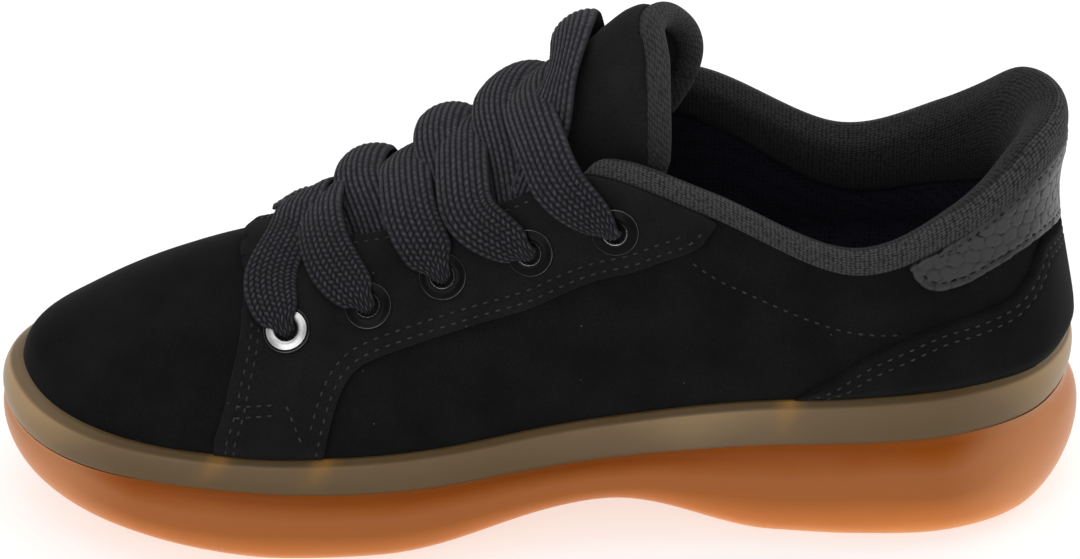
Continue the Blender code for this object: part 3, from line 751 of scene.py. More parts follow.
@dataclass(frozen=True)
class Braid(Finish):
    """Flat braided cotton: matt yarns with loose fibres; painted highlights on the yarns' crowns and painted
    shade where they dip between each other.
    """

    name: str = "flat_braid"
    # Painted light by weave height: a painted highlight on the crowns, painted shade in the dips.
    crown: str = "#454348"
    flat: str = "#29282c"
    dip: str = "#060607"
    # Real cotton fibres are far finer than a pixel, so they are drawn coarser.
    fibre_mm: float = 0.25
    slub_mm: float = 1.3
    slub: float = 0.9
    slub_least: float = 0.5

    def make(self) -> bpy.types.Material:
        """Tone from the mesh's own weave height, fibres as bump.

        Returns:
            The finished material.
        """
        material, tree, shader = new_material(
            self.name, Roughness=0.9, Sheen_Weight=0.04, Sheen_Roughness=0.5, Specular_IOR_Level=0.05
        )
        place = add_node(tree, "ShaderNodeTexCoord", {}).outputs["Object"]
        height = add_node(tree, "ShaderNodeAttribute", {}, attribute_name="weave").outputs["Fac"]
        fuzz = {"Vector": place, "Scale": per_metre(self.fibre_mm), "Detail": 2.0}
        fibre = add_node(tree, "ShaderNodeTexNoise", fuzz)
        spun = {"Vector": place, "Scale": per_metre(self.slub_mm), "Detail": 2.0}
        slub = add_node(tree, "ShaderNodeTexNoise", spun)
        swing = {0: slub.outputs["Fac"], 1: self.slub, 2: self.slub_least}
        uneven = add_node(tree, "ShaderNodeMath", swing, operation="MULTIPLY_ADD")
        level = add_node(tree, "ShaderNodeMath", {0: height, 1: uneven.outputs[0]}, operation="MULTIPLY")
        tones = (Tone(0.0, self.dip), Tone(0.6, self.flat), Tone(1.0, self.crown))
        tone = add_node(tree, "ShaderNodeValToRGB", {"Fac": level.outputs[0]}, tones)
        bump = add_node(
            tree, "ShaderNodeBump", {"Height": fibre.outputs["Fac"], "Strength": 0.4, "Distance": 0.2 * MM}
        )
        tree.links.new(tone.outputs["Color"], shader.inputs["Base Color"])
        tree.links.new(bump.outputs["Normal"], shader.inputs["Normal"])
        return material


@dataclass(frozen=True)
class Hard(Finish):
    """A hard, even finish such as enamel, bare metal or waxed thread, with faint handling marks."""

    name: str
    colour: str
    worn: str
    metallic: float
    roughness: float
    mark_mm: float = 3.0
    specular: float = 0.5

    def make(self) -> bpy.types.Material:
        """Two close tones in small patches under one gloss.

        Returns:
            The finished material.
        """
        material, tree, shader = new_material(
            self.name, Metallic=self.metallic, Roughness=self.roughness, Specular_IOR_Level=self.specular
        )
        place = add_node(tree, "ShaderNodeTexCoord", {}).outputs["Object"]
        handled = {"Vector": place, "Scale": per_metre(self.mark_mm), "Detail": 3.0}
        marks = add_node(tree, "ShaderNodeTexNoise", handled)
        tones = (Tone(0.4, self.colour), Tone(0.75, self.worn))
        tone = add_node(tree, "ShaderNodeValToRGB", {"Fac": marks.outputs["Fac"]}, tones)
        tree.links.new(tone.outputs["Color"], shader.inputs["Base Color"])
        return material


# The same hide on wall, facing and tongue; the facing and tongue copies are painted lighter, as painted light
# where those parts catch more light.
SUEDE = Suede()
FACING_SUEDE_PAINTED_LIGHTER = Suede(name="facing_suede_painted_lighter", dark="#121212", light="#1d1d1e")
TONGUE_SUEDE_PAINTED_LIGHTER = Suede(name="tongue_suede_painted_lighter", dark="#161616", light="#232324")
# Fine loops on the collar, slanting ribs on the tongue's edge, a darker face inside the collar.
KNIT = Knit()
BINDING_KNIT = Knit(
    name="ribbed_binding_knit", yarn="#383839", gap="#222223", wale_mm=0.6, course_mm=1.7, slant=0.35
)
COLLAR_INNER_DARK_KNIT = Knit(name="collar_inner_dark_knit", yarn="#2b2b2c", gap="#141415")
LINING = Lining()
LEATHER = EmbossedLeather()
BRAID = Braid()
# Glossy black eyelets with bright barrels and lighter metal rims that are a painted highlight, then thread
# with a dull wax.
ENAMEL = Hard("black_enamel", "#060607", "#0a0a0b", 0.0, 0.28, specular=0.06)
NICKEL = Hard("bright_nickel", "#bcbcbc", "#a2a2a2", 1.0, 0.33)
RIM_PAINTED_HIGHLIGHT = Hard("rim_painted_highlight_metal", "#5c5c5d", "#3a3a3b", 1.0, 0.35)
THREAD = Hard("waxed_thread", "#252526", "#353536", 0.0, 0.5, 1.0, specular=0.1)
TAB_THREAD = Hard("black_thread", "#050505", "#0b0b0b", 0.0, 0.5, 1.0, specular=0.1)
# The band lets the dark upper through, with painted glints, a painted sheen and painted light at its ends;
# the outsole's ramp is painted light and shade: brightest at its foot, as if lit from the floor below,
# darkest just under the band, and paler near the toe and heel.
BAND_GUM = Gum(
    "olive_gum",
    (
        Tone(0.0, "#45351b"), Tone(0.2, "#524129"), Tone(0.36, "#5a4a33"),
        Tone(0.56, "#675641"), Tone(0.8, "#8a7355"), Tone(1.0, "#a58a66"),
    ),
    painted_light="#a8762f",
)
# Painted light and shade: low levels, at the foot, are bright; high levels, under the band, are dark.
SOLE_GUM = Gum(
    "orange_gum",
    (
        Tone(0.0, "#ffb45c"), Tone(0.12, "#e8923f"), Tone(0.26, "#c47334"), Tone(0.5, "#9b5a28"),
        Tone(0.68, "#985a30"), Tone(0.76, "#90501e"), Tone(0.82, "#8c4504"), Tone(1.0, "#7c3a00"),
    ),
    painted_light="#cf9873",
)


def activate(item: bpy.types.Object) -> None:
    """Make one object the only selected and active one.

    Args:
        item: the object to select.
    """
    bpy.ops.object.select_all(action="DESELECT")
    item.select_set(True)
    bpy.context.view_layer.objects.active = item


def weld(item: bpy.types.Object, cap: bool = False) -> None:
    """Merge a mesh's doubles, close its open ends if asked and turn its faces outward.

    Args:
        item: the piece to close.
        cap: whether open ends get a face.
    """
    activate(item)
    bpy.ops.object.mode_set(mode="EDIT")
    bpy.ops.mesh.select_all(action="SELECT")
    bpy.ops.mesh.remove_doubles(threshold=DOUBLES)
    if cap:
        bpy.ops.mesh.fill_holes(sides=0)
    bpy.ops.mesh.select_all(action="SELECT")
    bpy.ops.mesh.normals_make_consistent(inside=False)
    bpy.ops.object.mode_set(mode="OBJECT")


def read(items: Any, name: str) -> Array:
    """One vector for each of a mesh's items, such as the places of its vertices.

    Args:
        items: a mesh's vertices or faces.
        name: the value to read.

    Returns:
        One row of three numbers each.
    """
    flat = np.empty(len(items) * 3)
    items.foreach_get(name, flat)
    return flat.reshape(-1, 3)


def mesh_piece(name: str, points: Array, faces: list[tuple[int, ...]]) -> bpy.types.Object:
    """A mesh from points and faces, where no primitive has the net that the piece needs.

    Args:
        name: the piece's name.
        points: its points, one a row.
        faces: the points of each face.

    Returns:
        The new object, at the origin.
    """
    mesh = bpy.data.meshes.new(name)
    mesh.from_pydata(points.tolist(), [], faces)
    item = bpy.data.objects.new(name, mesh)
    bpy.context.scene.collection.objects.link(item)
    weld(item)
    return item


def grid_piece(name: str, points: Array, uv: Array | None = None) -> bpy.types.Object:
    """A grid primitive laid on a surface.

    Args:
        name: the piece's name.
        points: the surface as (rows, columns, 3).
        uv: the surface's own coordinates in millimetres, as (rows, columns, 2).

    Returns:
        The new object, at the origin.
    """
    rows, columns = points.shape[:2]
    bpy.ops.object.select_all(action="DESELECT")
    bpy.ops.mesh.primitive_grid_add(x_subdivisions=columns - 1, y_subdivisions=rows - 1, size=2.0)
    item = bpy.context.object
    item.name = name
    mesh = item.data
    spot = read(mesh.vertices, "co")
    column = np.rint((spot[:, 0] + 1) * 0.5 * (columns - 1)).astype(int)
    row = np.rint((spot[:, 1] + 1) * 0.5 * (rows - 1)).astype(int)
    mesh.vertices.foreach_set("co", points[row, column].ravel())
    if uv is not None:
        corner = np.empty(len(mesh.loops), int)
        mesh.loops.foreach_get("vertex_index", corner)
        mesh.uv_layers[0].data.foreach_set("uv", uv[row, column][corner].ravel())
        mesh.uv_layers[0].name = "UVMap"
    mesh.update()
    return item


def tag(item: bpy.types.Object, name: str, values: Array) -> None:
    """Keep one number for each vertex under a name."""
    layer = item.data.attributes.new(name, "FLOAT", "POINT")
    layer.data.foreach_set("value", np.asarray(values, float).ravel())


def surface_uv(points: Array) -> Array:
    """Coordinates in millimetres along the columns and rows of a surface.

    Args:
        points: the surface as a grid of points.

    Returns:
        One pair of coordinates for each point.
    """
    along = np.linalg.norm(np.diff(points, axis=1), axis=2).mean(axis=0)
    up = np.linalg.norm(np.diff(points, axis=0), axis=2).mean(axis=1)
    u = np.concatenate([[0.0], np.cumsum(along)]) / MM
    v = np.concatenate([[0.0], np.cumsum(up)]) / MM
    return np.stack(np.meshgrid(u, v), axis=-1)


def dress(item: bpy.types.Object, slot: str, finish: Finish, *nodes: str) -> bpy.types.Object:
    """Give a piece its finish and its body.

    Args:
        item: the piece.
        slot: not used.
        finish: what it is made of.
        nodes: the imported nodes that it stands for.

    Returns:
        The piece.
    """
    if not item.data.materials:
        item.data.materials.append(finish.material())
    else:
        item.data.materials[0] = finish.material()
    activate(item)
    bpy.ops.object.shade_smooth_by_angle(angle=CREASE_ANGLE)
    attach(item, BODY)
    if nodes:
        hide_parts(*nodes)
    LOG.info("%s: %d faces", item.name, len(item.data.polygons))
    return item


def apply_modifiers(item: bpy.types.Object) -> None:
    """Apply every modifier of a piece.

    Args:
        item: the piece that carries them.
    """
    activate(item)
    for modifier in list(item.modifiers):
        bpy.ops.object.modifier_apply(modifier=modifier.name)


class Place(NamedTuple):
    """A place on the wall."""

    s: float
    t: float


EYELETS = (Place(3.05, 0.628), Place(4.10, 0.688), Place(5.11, 0.745), Place(6.21, 0.765), Place(7.20, 0.802))


class Side(IntEnum):
    """A side of the foot, by the sign of its Y."""

    INNER = -1
    OUTER = 1


def eyelet_axis(index: int, side: Side) -> tuple[Array, Array]:
    """Where an eyelet sits on the facing and which way it looks.

    Args:
        index: its number from the toe.
        side: its side of the foot.

    Returns:
        Its centre and direction.
    """
    row = EYELETS[index]
    s = row.s if side is Side.INNER else ROUND - row.s
    return Last.on(s, row.t, PANEL_GAP + OVERLAY), Last.normal(s, row.t)


@dataclass
class Sole:
    """The gum outsole and the band above it.

    A section runs from its foot to its top: shares of the height, then millimetres out from the rim.
    Tones are levels of the gum's own ramp, and hold painted light and shade: the outsole is brightest at its
    foot and darkest under the band, both pieces are paler near the toe and heel, and the band has a painted
    sheen.
    The glow attribute holds shares of the gum's painted light colour: painted glints on the band and a
    painted glow at the outsole's ends.
    """

    around: int = 288
    rise: int = 36
    band_rise: int = 65
    rungs: int = 12
    rung_share: float = 0.94
    side: tuple[tuple[float, float], ...] = (
        (0.00, -5.0), (0.02, -2.4), (0.06, -0.6), (0.13, 1.4), (0.22, 3.1), (0.33, 4.4), (0.45, 5.3),
        (0.58, 5.7), (0.70, 5.5), (0.80, 4.8), (0.87, 3.7), (0.92, 2.7), (0.96, 2.3), (1.00, 2.3),
    )
    toe_side: tuple[tuple[float, float], ...] = (
        (0.00, -5.0), (0.02, -2.4), (0.06, -0.6), (0.13, 1.5), (0.22, 3.0), (0.33, 4.2), (0.45, 5.0),
        (0.58, 5.4), (0.70, 5.5), (0.80, 5.4), (0.87, 5.2), (0.92, 4.9), (0.96, 4.7), (1.00, 4.7),
    )
    band: tuple[tuple[float, float], ...] = (
        (0.00, 0.35), (0.00, 2.60), (0.03, 3.25), (0.14, 3.62), (0.35, 3.80), (0.58, 3.70), (0.78, 3.35),
        (0.86, 3.05), (0.90, 2.65), (0.965, 2.00), (0.995, 1.45), (0.97, 0.40), (0.50, 0.35),
    )
    line_rise: tuple[tuple[float, float], ...] = (
        (-0.50, 1.2), (-0.43, 1.9), (-0.31, 3.3), (-0.11, 1.5),
        (0.12, 0.2), (0.33, 2.1), (0.45, 2.3), (0.50, 2.0),
    )
    ledge_out: float = 0.45 * MM
    toe_band: float = 1.3
    heel_band: float = 1.5
    heel_start: float = 0.012
    band_least: float = 0.2
    shift_from: float = 0.5
    shift_over: float = 2.0
    # Outsole ramp levels for its underside and top: the bright and the dark ends of its painted light and
    # shade.
    under_tone: float = 0.05
    top_tone: float = 0.86
    # Painted light near the toe and heel: a paler ramp level and a painted glow.
    end_light_share: float = 0.38
    painted_end_glow: float = 0.4
    painted_end_glow_rise: float = 0.3
    lip_from: float = 0.86
    lip_over: float = 0.05
    lip_tone: float = 0.02
    foot_tone: float = 0.24
    rise_tone: float = 0.22
    # Painted light: the band paler near the toe and heel, its lip a little more.
    end_light_tone: float = 0.42
    end_lip_light_tone: float = 0.06
    # A painted reflection: a broad lighter sheen on the band behind the waist.
    sheen: float = 0.24
    sheen_x: float = 0.041
    sheen_width: float = 0.03
    # Painted highlights: soft slanted glints on the band at these ribs.
    glints: tuple[float, ...] = (3.13, 4.05, 8.40, 19.95, 20.87, 15.60)
    glint_width: float = 0.09
    glint_level: float = 0.42
    glint_fade: float = 1.5
    glint_slant: float = 0.14
    glint_top: float = 0.9

    TOE_FROM, TOE_OVER = 0.5, 0.4
    END_FROM, END_OVER = 0.72, 0.22

    def line(self, x: Array) -> Array:
        """How high the line between the outsole and the band lies at x."""
        places, rises = np.transpose(self.line_rise)
        return Last.sole("ledge", x) + smooth(places * LENGTH, rises * MM, x)

    @classmethod
    def toe(cls, x: Array) -> Array:
        """How much of the toe's own section holds at x, from 0 to 1."""
        return ease((-x / (0.5 * LENGTH) - cls.TOE_FROM) / cls.TOE_OVER)

    @classmethod
    def ends(cls, x: Array) -> Array:
        """How near the toe's or the heel's end a place is, from 0 to 1."""
        return ease((np.abs(x) / (0.5 * LENGTH) - cls.END_FROM) / cls.END_OVER)

    def outsole(self) -> bpy.types.Object:
        """The outsole: bulging side, flat spots and arch underneath, ledge on top.

        Returns:
            The dressed piece.
        """
        s = np.arange(self.around + 1) * ROUND / self.around
        plan, normal = Last.rim(s)
        section = spline(np.array(self.side), self.rise)
        middle = 0.5 * (plan + plan[::-1])
        rings, tones, glows = [], [], []
        for share in np.linspace(0.0, self.rung_share, self.rungs):
            inner = plan + normal * section[0, 1] * MM
            xy = middle + (inner - middle) * np.array([1.0, share])
            rings.append(np.column_stack([xy, Last.sole("ground", xy[:, 0])]))
            tones.append(np.full(len(s), self.under_tone))
            glows.append(np.zeros(len(s)))
        fore = self.toe(plan[:, 0])
        for (height, out), (_, toe_out) in zip(section, spline(np.array(self.toe_side), self.rise)):
            xy = plan + normal * (out + (toe_out - out) * fore)[:, None] * MM
            low, high = Last.sole("ground", xy[:, 0]), self.line(xy[:, 0])
            rings.append(np.column_stack([xy, low + (high - low) * height]))
            ends = self.ends(xy[:, 0])
            # Painted light and shade: the level rises with height, so the outsole is brightest at its foot
            # and darkest under the band.
            tones.append(float(np.clip(height, 0.0, 1.0)) * self.top_tone * (1 - self.end_light_share * ends))
            # Painted light near the toe and heel: paler levels in the line above and a painted glow here.
            glows.append(self.painted_end_glow * ends * float(np.clip(height / self.painted_end_glow_rise, 0.0, 1.0)))
        top = plan + normal * self.ledge_out
        for share in [1.0, *np.linspace(self.rung_share, 0.0, self.rungs)]:
            xy = middle + (top - middle) * np.array([1.0, share])
            rings.append(np.column_stack([xy, Last.sole("ledge", xy[:, 0])]))
            tones.append(np.full(len(s), self.top_tone))
            glows.append(np.zeros(len(s)))
        item = grid_piece("outsole_rubber", np.array(rings))
        tag(item, "tone", np.array(tones))
        tag(item, "glow", np.array(glows))
        weld(item)
        return dress(item, "sole_rubber", SOLE_GUM, "outsole")

    def sidewall(self) -> bpy.types.Object:
        """The band round the foot of the upper, with its bevelled lip.

        Returns:
            The dressed piece.
        """
        s = np.arange(self.around + 1) * ROUND / self.around
        plan, normal = Last.rim(s)
        x = plan[:, 0]
        base = self.line(x) + GAP
        tall = Last.band_height(x) - base
        ends = self.ends(x)
        shift = self.toe_band * self.toe(x) - self.heel_band * self.toe(self.heel_start - x)
        # Painted reflection: the band lighter over a broad stretch behind the waist.
        sheen = self.sheen * bell(x - self.sheen_x, self.sheen_width)
        section = spline(np.array(self.band), self.band_rise)
        rings, tones, glows = [], [], []
        for height, out in np.vstack([section, section[:1]]):
            share = float(np.clip(height, 0.0, 1.0))
            z = base + tall * share
            on = Last.wall(s, Last.t_at(s, z))
            shifted = shift * np.clip((out - self.shift_from) / self.shift_over, 0.0, 1.0)
            stand = max(out, self.band_least) + shifted
            rings.append(np.column_stack([on[:, :2] + normal * stand[:, None] * MM, z]))
            lip = float(np.clip((height - self.lip_from) / self.lip_over, 0.0, 1.0))
            face = self.foot_tone + self.rise_tone * height + sheen
            # Painted light: the band paler near the toe and heel.
            pale = (self.end_light_tone + self.end_lip_light_tone * lip) * ends
            tones.append((1 - lip) * face + self.lip_tone * lip + pale)
            # Painted highlights: glints that slant and fade towards the band's foot.
            slant = self.glint_slant * (height - self.glint_top)
            glow = sum(bell(s - at - slant, self.glint_width) for at in self.glints)
            glows.append(glow * self.glint_level * share**self.glint_fade)
        item = grid_piece("sidewall_band_rubber", np.array(rings))
        tag(item, "tone", np.array(tones))
        tag(item, "glow", np.array(glows))
        weld(item)
        return dress(item, "band_rubber", BAND_GUM, "sidewall_band")


@dataclass
class Panel:
    """A leather panel on the wall, inside an outline of places, with rounded cut edges."""

    name: str
    outline: Array
    thickness: float = OVERLAY
    edge: float = 0.65 * MM
    spacing: float = 1.7 * MM
    holes: list[Array] = field(default_factory=list)
    channels: list[Array] = field(default_factory=list)

    # Millimetres that one rib and the wall's whole height come to.
    SCALE = np.array([28.0, 75.0])
    STEP = 0.9 * MM
    RINGS = (0.28 * MM, 0.7 * MM)
    RING_ROOM = 0.2 * MM
    GRID_ROOM = 1.2 * MM
    SEAM_STEP = 0.5 * MM
    SEAM_SIDES = (-0.6 * MM, 0.0, 0.6 * MM)
    SEAM_DEPTH = 0.3 * MM
    SEAM_WIDTH = 0.55 * MM
    EDGE_SHARE = 0.55
    BACK = 0.05 * MM
    BLOCK = 400
    VALID_FACES = 4
    NET_ERROR = 1e-6

    def points(self) -> tuple[Array, list[tuple[int, int]], int]:
        """Points for the panel's net: its borders, rings inside them, seam channels and a filling.

        Returns:
            Places, bonds along the borders, and how many of the places lie on them.
        """
        border = Last.resample(np.vstack([self.outline, self.outline[:1]]), self.STEP)[:-1]
        loops = [border, *self.holes]
        fixed = np.vstack(loops)
        bonds, start = [], 0
        for loop in loops:
            count = len(loop)
            bonds += [(start + k, start + (k + 1) % count) for k in range(count)]
            start += count
        ring = np.vstack([border[-1:], border, border[:1]])
        extra = [Last.beside(ring, distance)[1:-1] for distance in self.RINGS]
        for line in self.channels:
            fine = Last.resample(line, self.STEP)
            extra += [Last.beside(fine, side) for side in self.SEAM_SIDES]
        low, high = border.min(axis=0), border.max(axis=0)
        count = np.maximum(((high - low) * self.SCALE / (self.spacing / MM)).astype(int), 2)
        axes = (np.linspace(low[k], high[k], count[k]) for k in (0, 1))
        grid = np.stack(np.meshgrid(*axes), axis=-1).reshape(-1, 2)
        free = np.vstack([*extra, grid])
        least = np.full(len(free), self.RING_ROOM)
        least[len(free) - len(grid) :] = self.GRID_ROOM
        inside = self.inside(free, border)
        for hole in self.holes:
            inside &= ~self.inside(free, hole)
        free, least = free[inside], least[inside]
        clear = self.clearance(free, fixed) > least
        return np.vstack([fixed, free[clear]]), bonds, len(fixed)

    @staticmethod
    def inside(points: Array, loop: Array) -> Array:
        """Which points lie inside a loop of places.

        Args:
            points: rows of (s, t).
            loop: the loop's rows of (s, t).

        Returns:
            True or False for each point.
        """
        hit = np.zeros(len(points), bool)
        for a, b in zip(loop, np.roll(loop, -1, axis=0)):
            if a[1] != b[1]:
                spans = (a[1] > points[:, 1]) != (b[1] > points[:, 1])
                hit ^= spans & (points[:, 0] < (b[0] - a[0]) * (points[:, 1] - a[1]) / (b[1] - a[1]) + a[0])
        return hit

    @classmethod
    def clearance(cls, points: Array, others: Array) -> Array:
        """Distance on the wall from each point to the nearest of some others.

        Args:
            points: rows of (s, t).
            others: rows to keep away from.

        Returns:
            Distances in metres.
        """
        here = Last.wall(points[:, 0], points[:, 1])
        there = Last.wall(others[:, 0], others[:, 1])
        return np.concatenate(
            [
                np.sqrt(((block[:, None] - there[None]) ** 2).sum(axis=2).min(axis=1))
                for block in np.array_split(here, max(len(here) // cls.BLOCK, 1))
            ]
        )

    def heights(self, places: Array, fixed: Array) -> Array:
        """How far the panel's face stands out at each place: rounded at its edges, drawn in at seams.

        Args:
            places: rows of (s, t).
            fixed: rows on the panel's edges.

        Returns:
            Distances in metres.
        """
        share = np.clip(self.clearance(places, fixed) / self.edge, 0.0, 1.0)
        out = self.thickness * (self.EDGE_SHARE + (1 - self.EDGE_SHARE) * np.sqrt(1 - (1 - share) ** 2))
        for line in self.channels:
            away = self.clearance(places, Last.resample(line, self.SEAM_STEP))
            out = out - self.SEAM_DEPTH * bell(away, self.SEAM_WIDTH)
        return out

    def build(self) -> bpy.types.Object:
        """The panel as a closed mesh: face, edge and back.

        Returns:
            The panel, still without a finish.
        """
        places, bonds, count = self.points()
        flat = [Vector(p) for p in places * self.SCALE]
        net = delaunay_2d_cdt(flat, bonds, [], self.VALID_FACES, self.NET_ERROR)
        made = np.array([tuple(v) for v in net[0]]) / self.SCALE
        faces = [tuple(f) for f in net[2]]
        out = self.heights(made, places[:count])
        front = Last.on(made[:, 0], made[:, 1], Last.tucked(made[:, 0], made[:, 1], PANEL_GAP + out))
        back = Last.on(made[:, 0], made[:, 1], self.BACK)
        size = len(made)
        edges: dict[tuple[int, int], None] = {}
        for face in faces:
            for a, b in zip(face, face[1:] + face[:1]):
                if (b, a) in edges:
                    del edges[(b, a)]
                else:
                    edges[(a, b)] = None
        shell = faces + [tuple(size + k for k in reversed(face)) for face in faces]
        shell += [(b, a, size + a, size + b) for a, b in edges]
        return mesh_piece(self.name, np.vstack([front, back]), shell)


def mirrored(rows: Sequence[Place]) -> Array:
    """A line on the inner side followed by its copy on the outer side, heel in the middle."""
    near = [tuple(row) for row in rows]
    return np.array(near + [(ROUND - s, t) for s, t in reversed(near) if ROUND - s > near[-1][0] + 1e-6])


def other_side(line: Array) -> Array:
    """A line's copy on the other side of the shoe, run the other way."""
    return np.column_stack([ROUND - line[::-1, 0], line[::-1, 1]])


@dataclass
class Thread:
    """Rows of stitches on a panel or on the wall."""

    name: str
    finish: Finish
    slot: str
    pitch: float = 2.9 * MM
    length: float = 1.55 * MM
    radius: float = 0.27 * MM
    segments: int = 6
    rings: int = 5
    tip: float = 0.35
    flat: float = 0.8
    dip: float = 0.28 * MM
    stitches: list[Array] = field(default_factory=list)
    faces: list[tuple[int, ...]] = field(default_factory=list)

    def row(self, line: Array, out: float) -> None:
        """Sew one row.

        Args:
            line: places (s, t) that the row follows.
            out: how far from the wall the thread lies, in metres.
        """
        knots = Last.resample(line, self.pitch)
        middle = 0.5 * (knots[:-1] + knots[1:])
        ahead = unit(Last.wall(*knots[1:].T) - Last.wall(*knots[:-1].T))
        up = Last.normal(*middle.T)
        side = np.cross(up, ahead)
        centre = Last.on(middle[:, 0], middle[:, 1], Last.tucked(middle[:, 0], middle[:, 1], out))
        angle = np.arange(self.segments) * 2 * math.pi / self.segments
        for c, a, u, d in zip(centre, ahead, up, side):
            start = sum(len(block) for block in self.stitches)
            block = []
            for share in np.linspace(-1.0, 1.0, self.rings):
                swell = self.radius * (self.tip + (1 - self.tip) * math.sqrt(max(1 - share**4, 0.0)))
                here = c + a * share * 0.5 * self.length - u * self.dip * share**4
                rim = np.outer(np.cos(angle), d) + np.outer(np.sin(angle), u) * self.flat
                block.append(here + rim * swell)
            self.stitches.append(np.vstack(block))
            n = self.segments
            for low in range(start, start + (self.rings - 1) * n, n):
                for k in range(n):
                    q = (k + 1) % n
                    self.faces.append((low + k, low + q, low + n + q, low + n + k))
            self.faces.append(tuple(start + k for k in reversed(range(n))))
            self.faces.append(tuple(start + (self.rings - 1) * n + k for k in range(n)))

    def build(self) -> bpy.types.Object:
        """All rows as one joined mesh."""
        item = mesh_piece(self.name, np.vstack(self.stitches), self.faces)
        return dress(item, self.slot, self.finish)


@dataclass
class Upper:
    """The suede wall with its facing, heel counter, heel tab and seams.

    Outlines are lines of places on the wall's inner side, seams are distances in from them, and both are
    repeated on the outer side.
    """

    columns: int = 336
    rows: int = 60
    step: float = 1.5 * MM
    facing: tuple[Place, ...] = (
        Place(0.00, 0.870), Place(1.00, 0.830), Place(1.80, 0.740), Place(2.48, 0.580),
        Place(2.91, 0.372), Place(3.05, 0.200), Place(3.13, 0.080),
    )
    facing_back: tuple[Place, ...] = (
        Place(4.05, 0.080), Place(4.06, 0.250), Place(4.08, 0.380), Place(4.15, 0.445),
        Place(4.30, 0.478), Place(4.66, 0.505), Place(5.39, 0.538), Place(6.19, 0.565),
        Place(7.12, 0.630), Place(7.60, 0.750), Place(7.91, 0.873), Place(8.05, 0.985),
    )
    counter: tuple[Place, ...] = (
        Place(8.30, 0.140), Place(8.46, 0.215), Place(8.78, 0.348), Place(9.15, 0.505),
        Place(9.71, 0.588), Place(10.20, 0.575), Place(10.60, 0.565), Place(10.90, 0.610),
        Place(11.18, 0.682), Place(11.50, 0.665), Place(12.00, 0.630),
    )
    tab: tuple[Place, ...] = (
        Place(9.50, 0.985), Place(9.57, 0.905), Place(9.69, 0.832), Place(9.85, 0.788), Place(10.10, 0.773),
        Place(10.40, 0.771), Place(10.94, 0.747), Place(11.50, 0.705), Place(12.00, 0.662),
    )
    collar_seam: tuple[Place, ...] = (
        Place(7.81, 0.780), Place(8.03, 0.733), Place(8.33, 0.710),
        Place(8.69, 0.680), Place(9.16, 0.630), Place(9.43, 0.600),
    )
    leg_bars: tuple[tuple[Place, ...], ...] = (
        (Place(3.03, 0.350), Place(3.44, 0.356)),
        (Place(3.09, 0.310), Place(3.49, 0.320)),
    )
    leg_seam: tuple[Place, ...] = (Place(3.55, 0.358), Place(3.70, 0.290), Place(3.84, 0.215))
    throat_seam: tuple[Place, Place] = (Place(0.10, 0.962), Place(6.60, 0.962))
    front_seams: tuple[float, float] = (3.0 * MM, 4.9 * MM)
    back_seams: tuple[float, float] = (1.9 * MM, 4.6 * MM)
    counter_seams: tuple[float, float] = (2.2 * MM, 4.5 * MM)
    hem: float = 2.1 * MM
    sunk: float = 0.12 * MM
    hem_sunk: float = 0.15 * MM
    wall_thread: float = 0.05 * MM
    hole_sides: int = 28
    hole_radius: float = 3.4 * MM
    wall_hole: float = 4.6 * MM
    foot_tuck: float = 0.02
    tab_spacing: float = 0.55 * MM
    tab_seam_from: float = 9.75
    tab_seam_drop: float = 0.022
    scale_mm: float = 3.7
    scale_stretch: float = 1.15
    scale_stray: float = 0.4
    groove_mm: float = 0.95
    groove_depth: float = 0.42 * MM
    groove_share: float = 0.7

    THROAT_STEPS, EDGE_STEPS, FOOT_STEPS, TAB_STEPS, TAB_SEAM_STEPS = 40, 160, 120, 90, 60
    TAB_FROM, TAB_OVER, TAB_RISE = 9.55, 1.5, 0.06
    HEEL_X, HEEL_ROUND_MM = 0.09, 38.0
    HOLE_DS, HOLE_DT = 0.05, 0.02

    def wall(self) -> bpy.types.Object:
        """The base wall, lined inside, open where the eyelets pass.

        Returns:
            The dressed piece.
        """
        s = np.arange(self.columns + 1) * ROUND / self.columns
        t = np.linspace(0.0, 1.0, self.rows)[:, None]
        s, t = np.broadcast_arrays(s, t)
        points = Last.on(s, t, 0.0)
        item = grid_piece("suede_upper", points)
        weld(item)
        self.open_holes(item)
        item.data.materials.append(SUEDE.material())
        item.data.materials.append(LINING.material())
        shell = item.modifiers.new("wall", "SOLIDIFY")
        shell.thickness = WALL
        shell.offset = -1.0
        shell.use_even_offset = False
        shell.material_offset = 1
        apply_modifiers(item)
        return dress(item, "suede", SUEDE, "upper")

    def open_holes(self, item: bpy.types.Object) -> None:
        """Take out the wall's faces behind each eyelet.

        Args:
            item: the wall.
        """
        centres = [eyelet_axis(k, side)[0] for k in range(len(EYELETS)) for side in Side]
        activate(item)
        bpy.ops.object.mode_set(mode="EDIT")
        bpy.ops.mesh.select_all(action="DESELECT")
        bpy.ops.object.mode_set(mode="OBJECT")
        middle = read(item.data.polygons, "center")
        away = np.linalg.norm(middle[:, None] - np.array(centres)[None], axis=2).min(axis=1)
        item.data.polygons.foreach_set("select", away < self.wall_hole)
        bpy.ops.object.mode_set(mode="EDIT")
        bpy.ops.mesh.delete(type="FACE")
        bpy.ops.object.mode_set(mode="OBJECT")

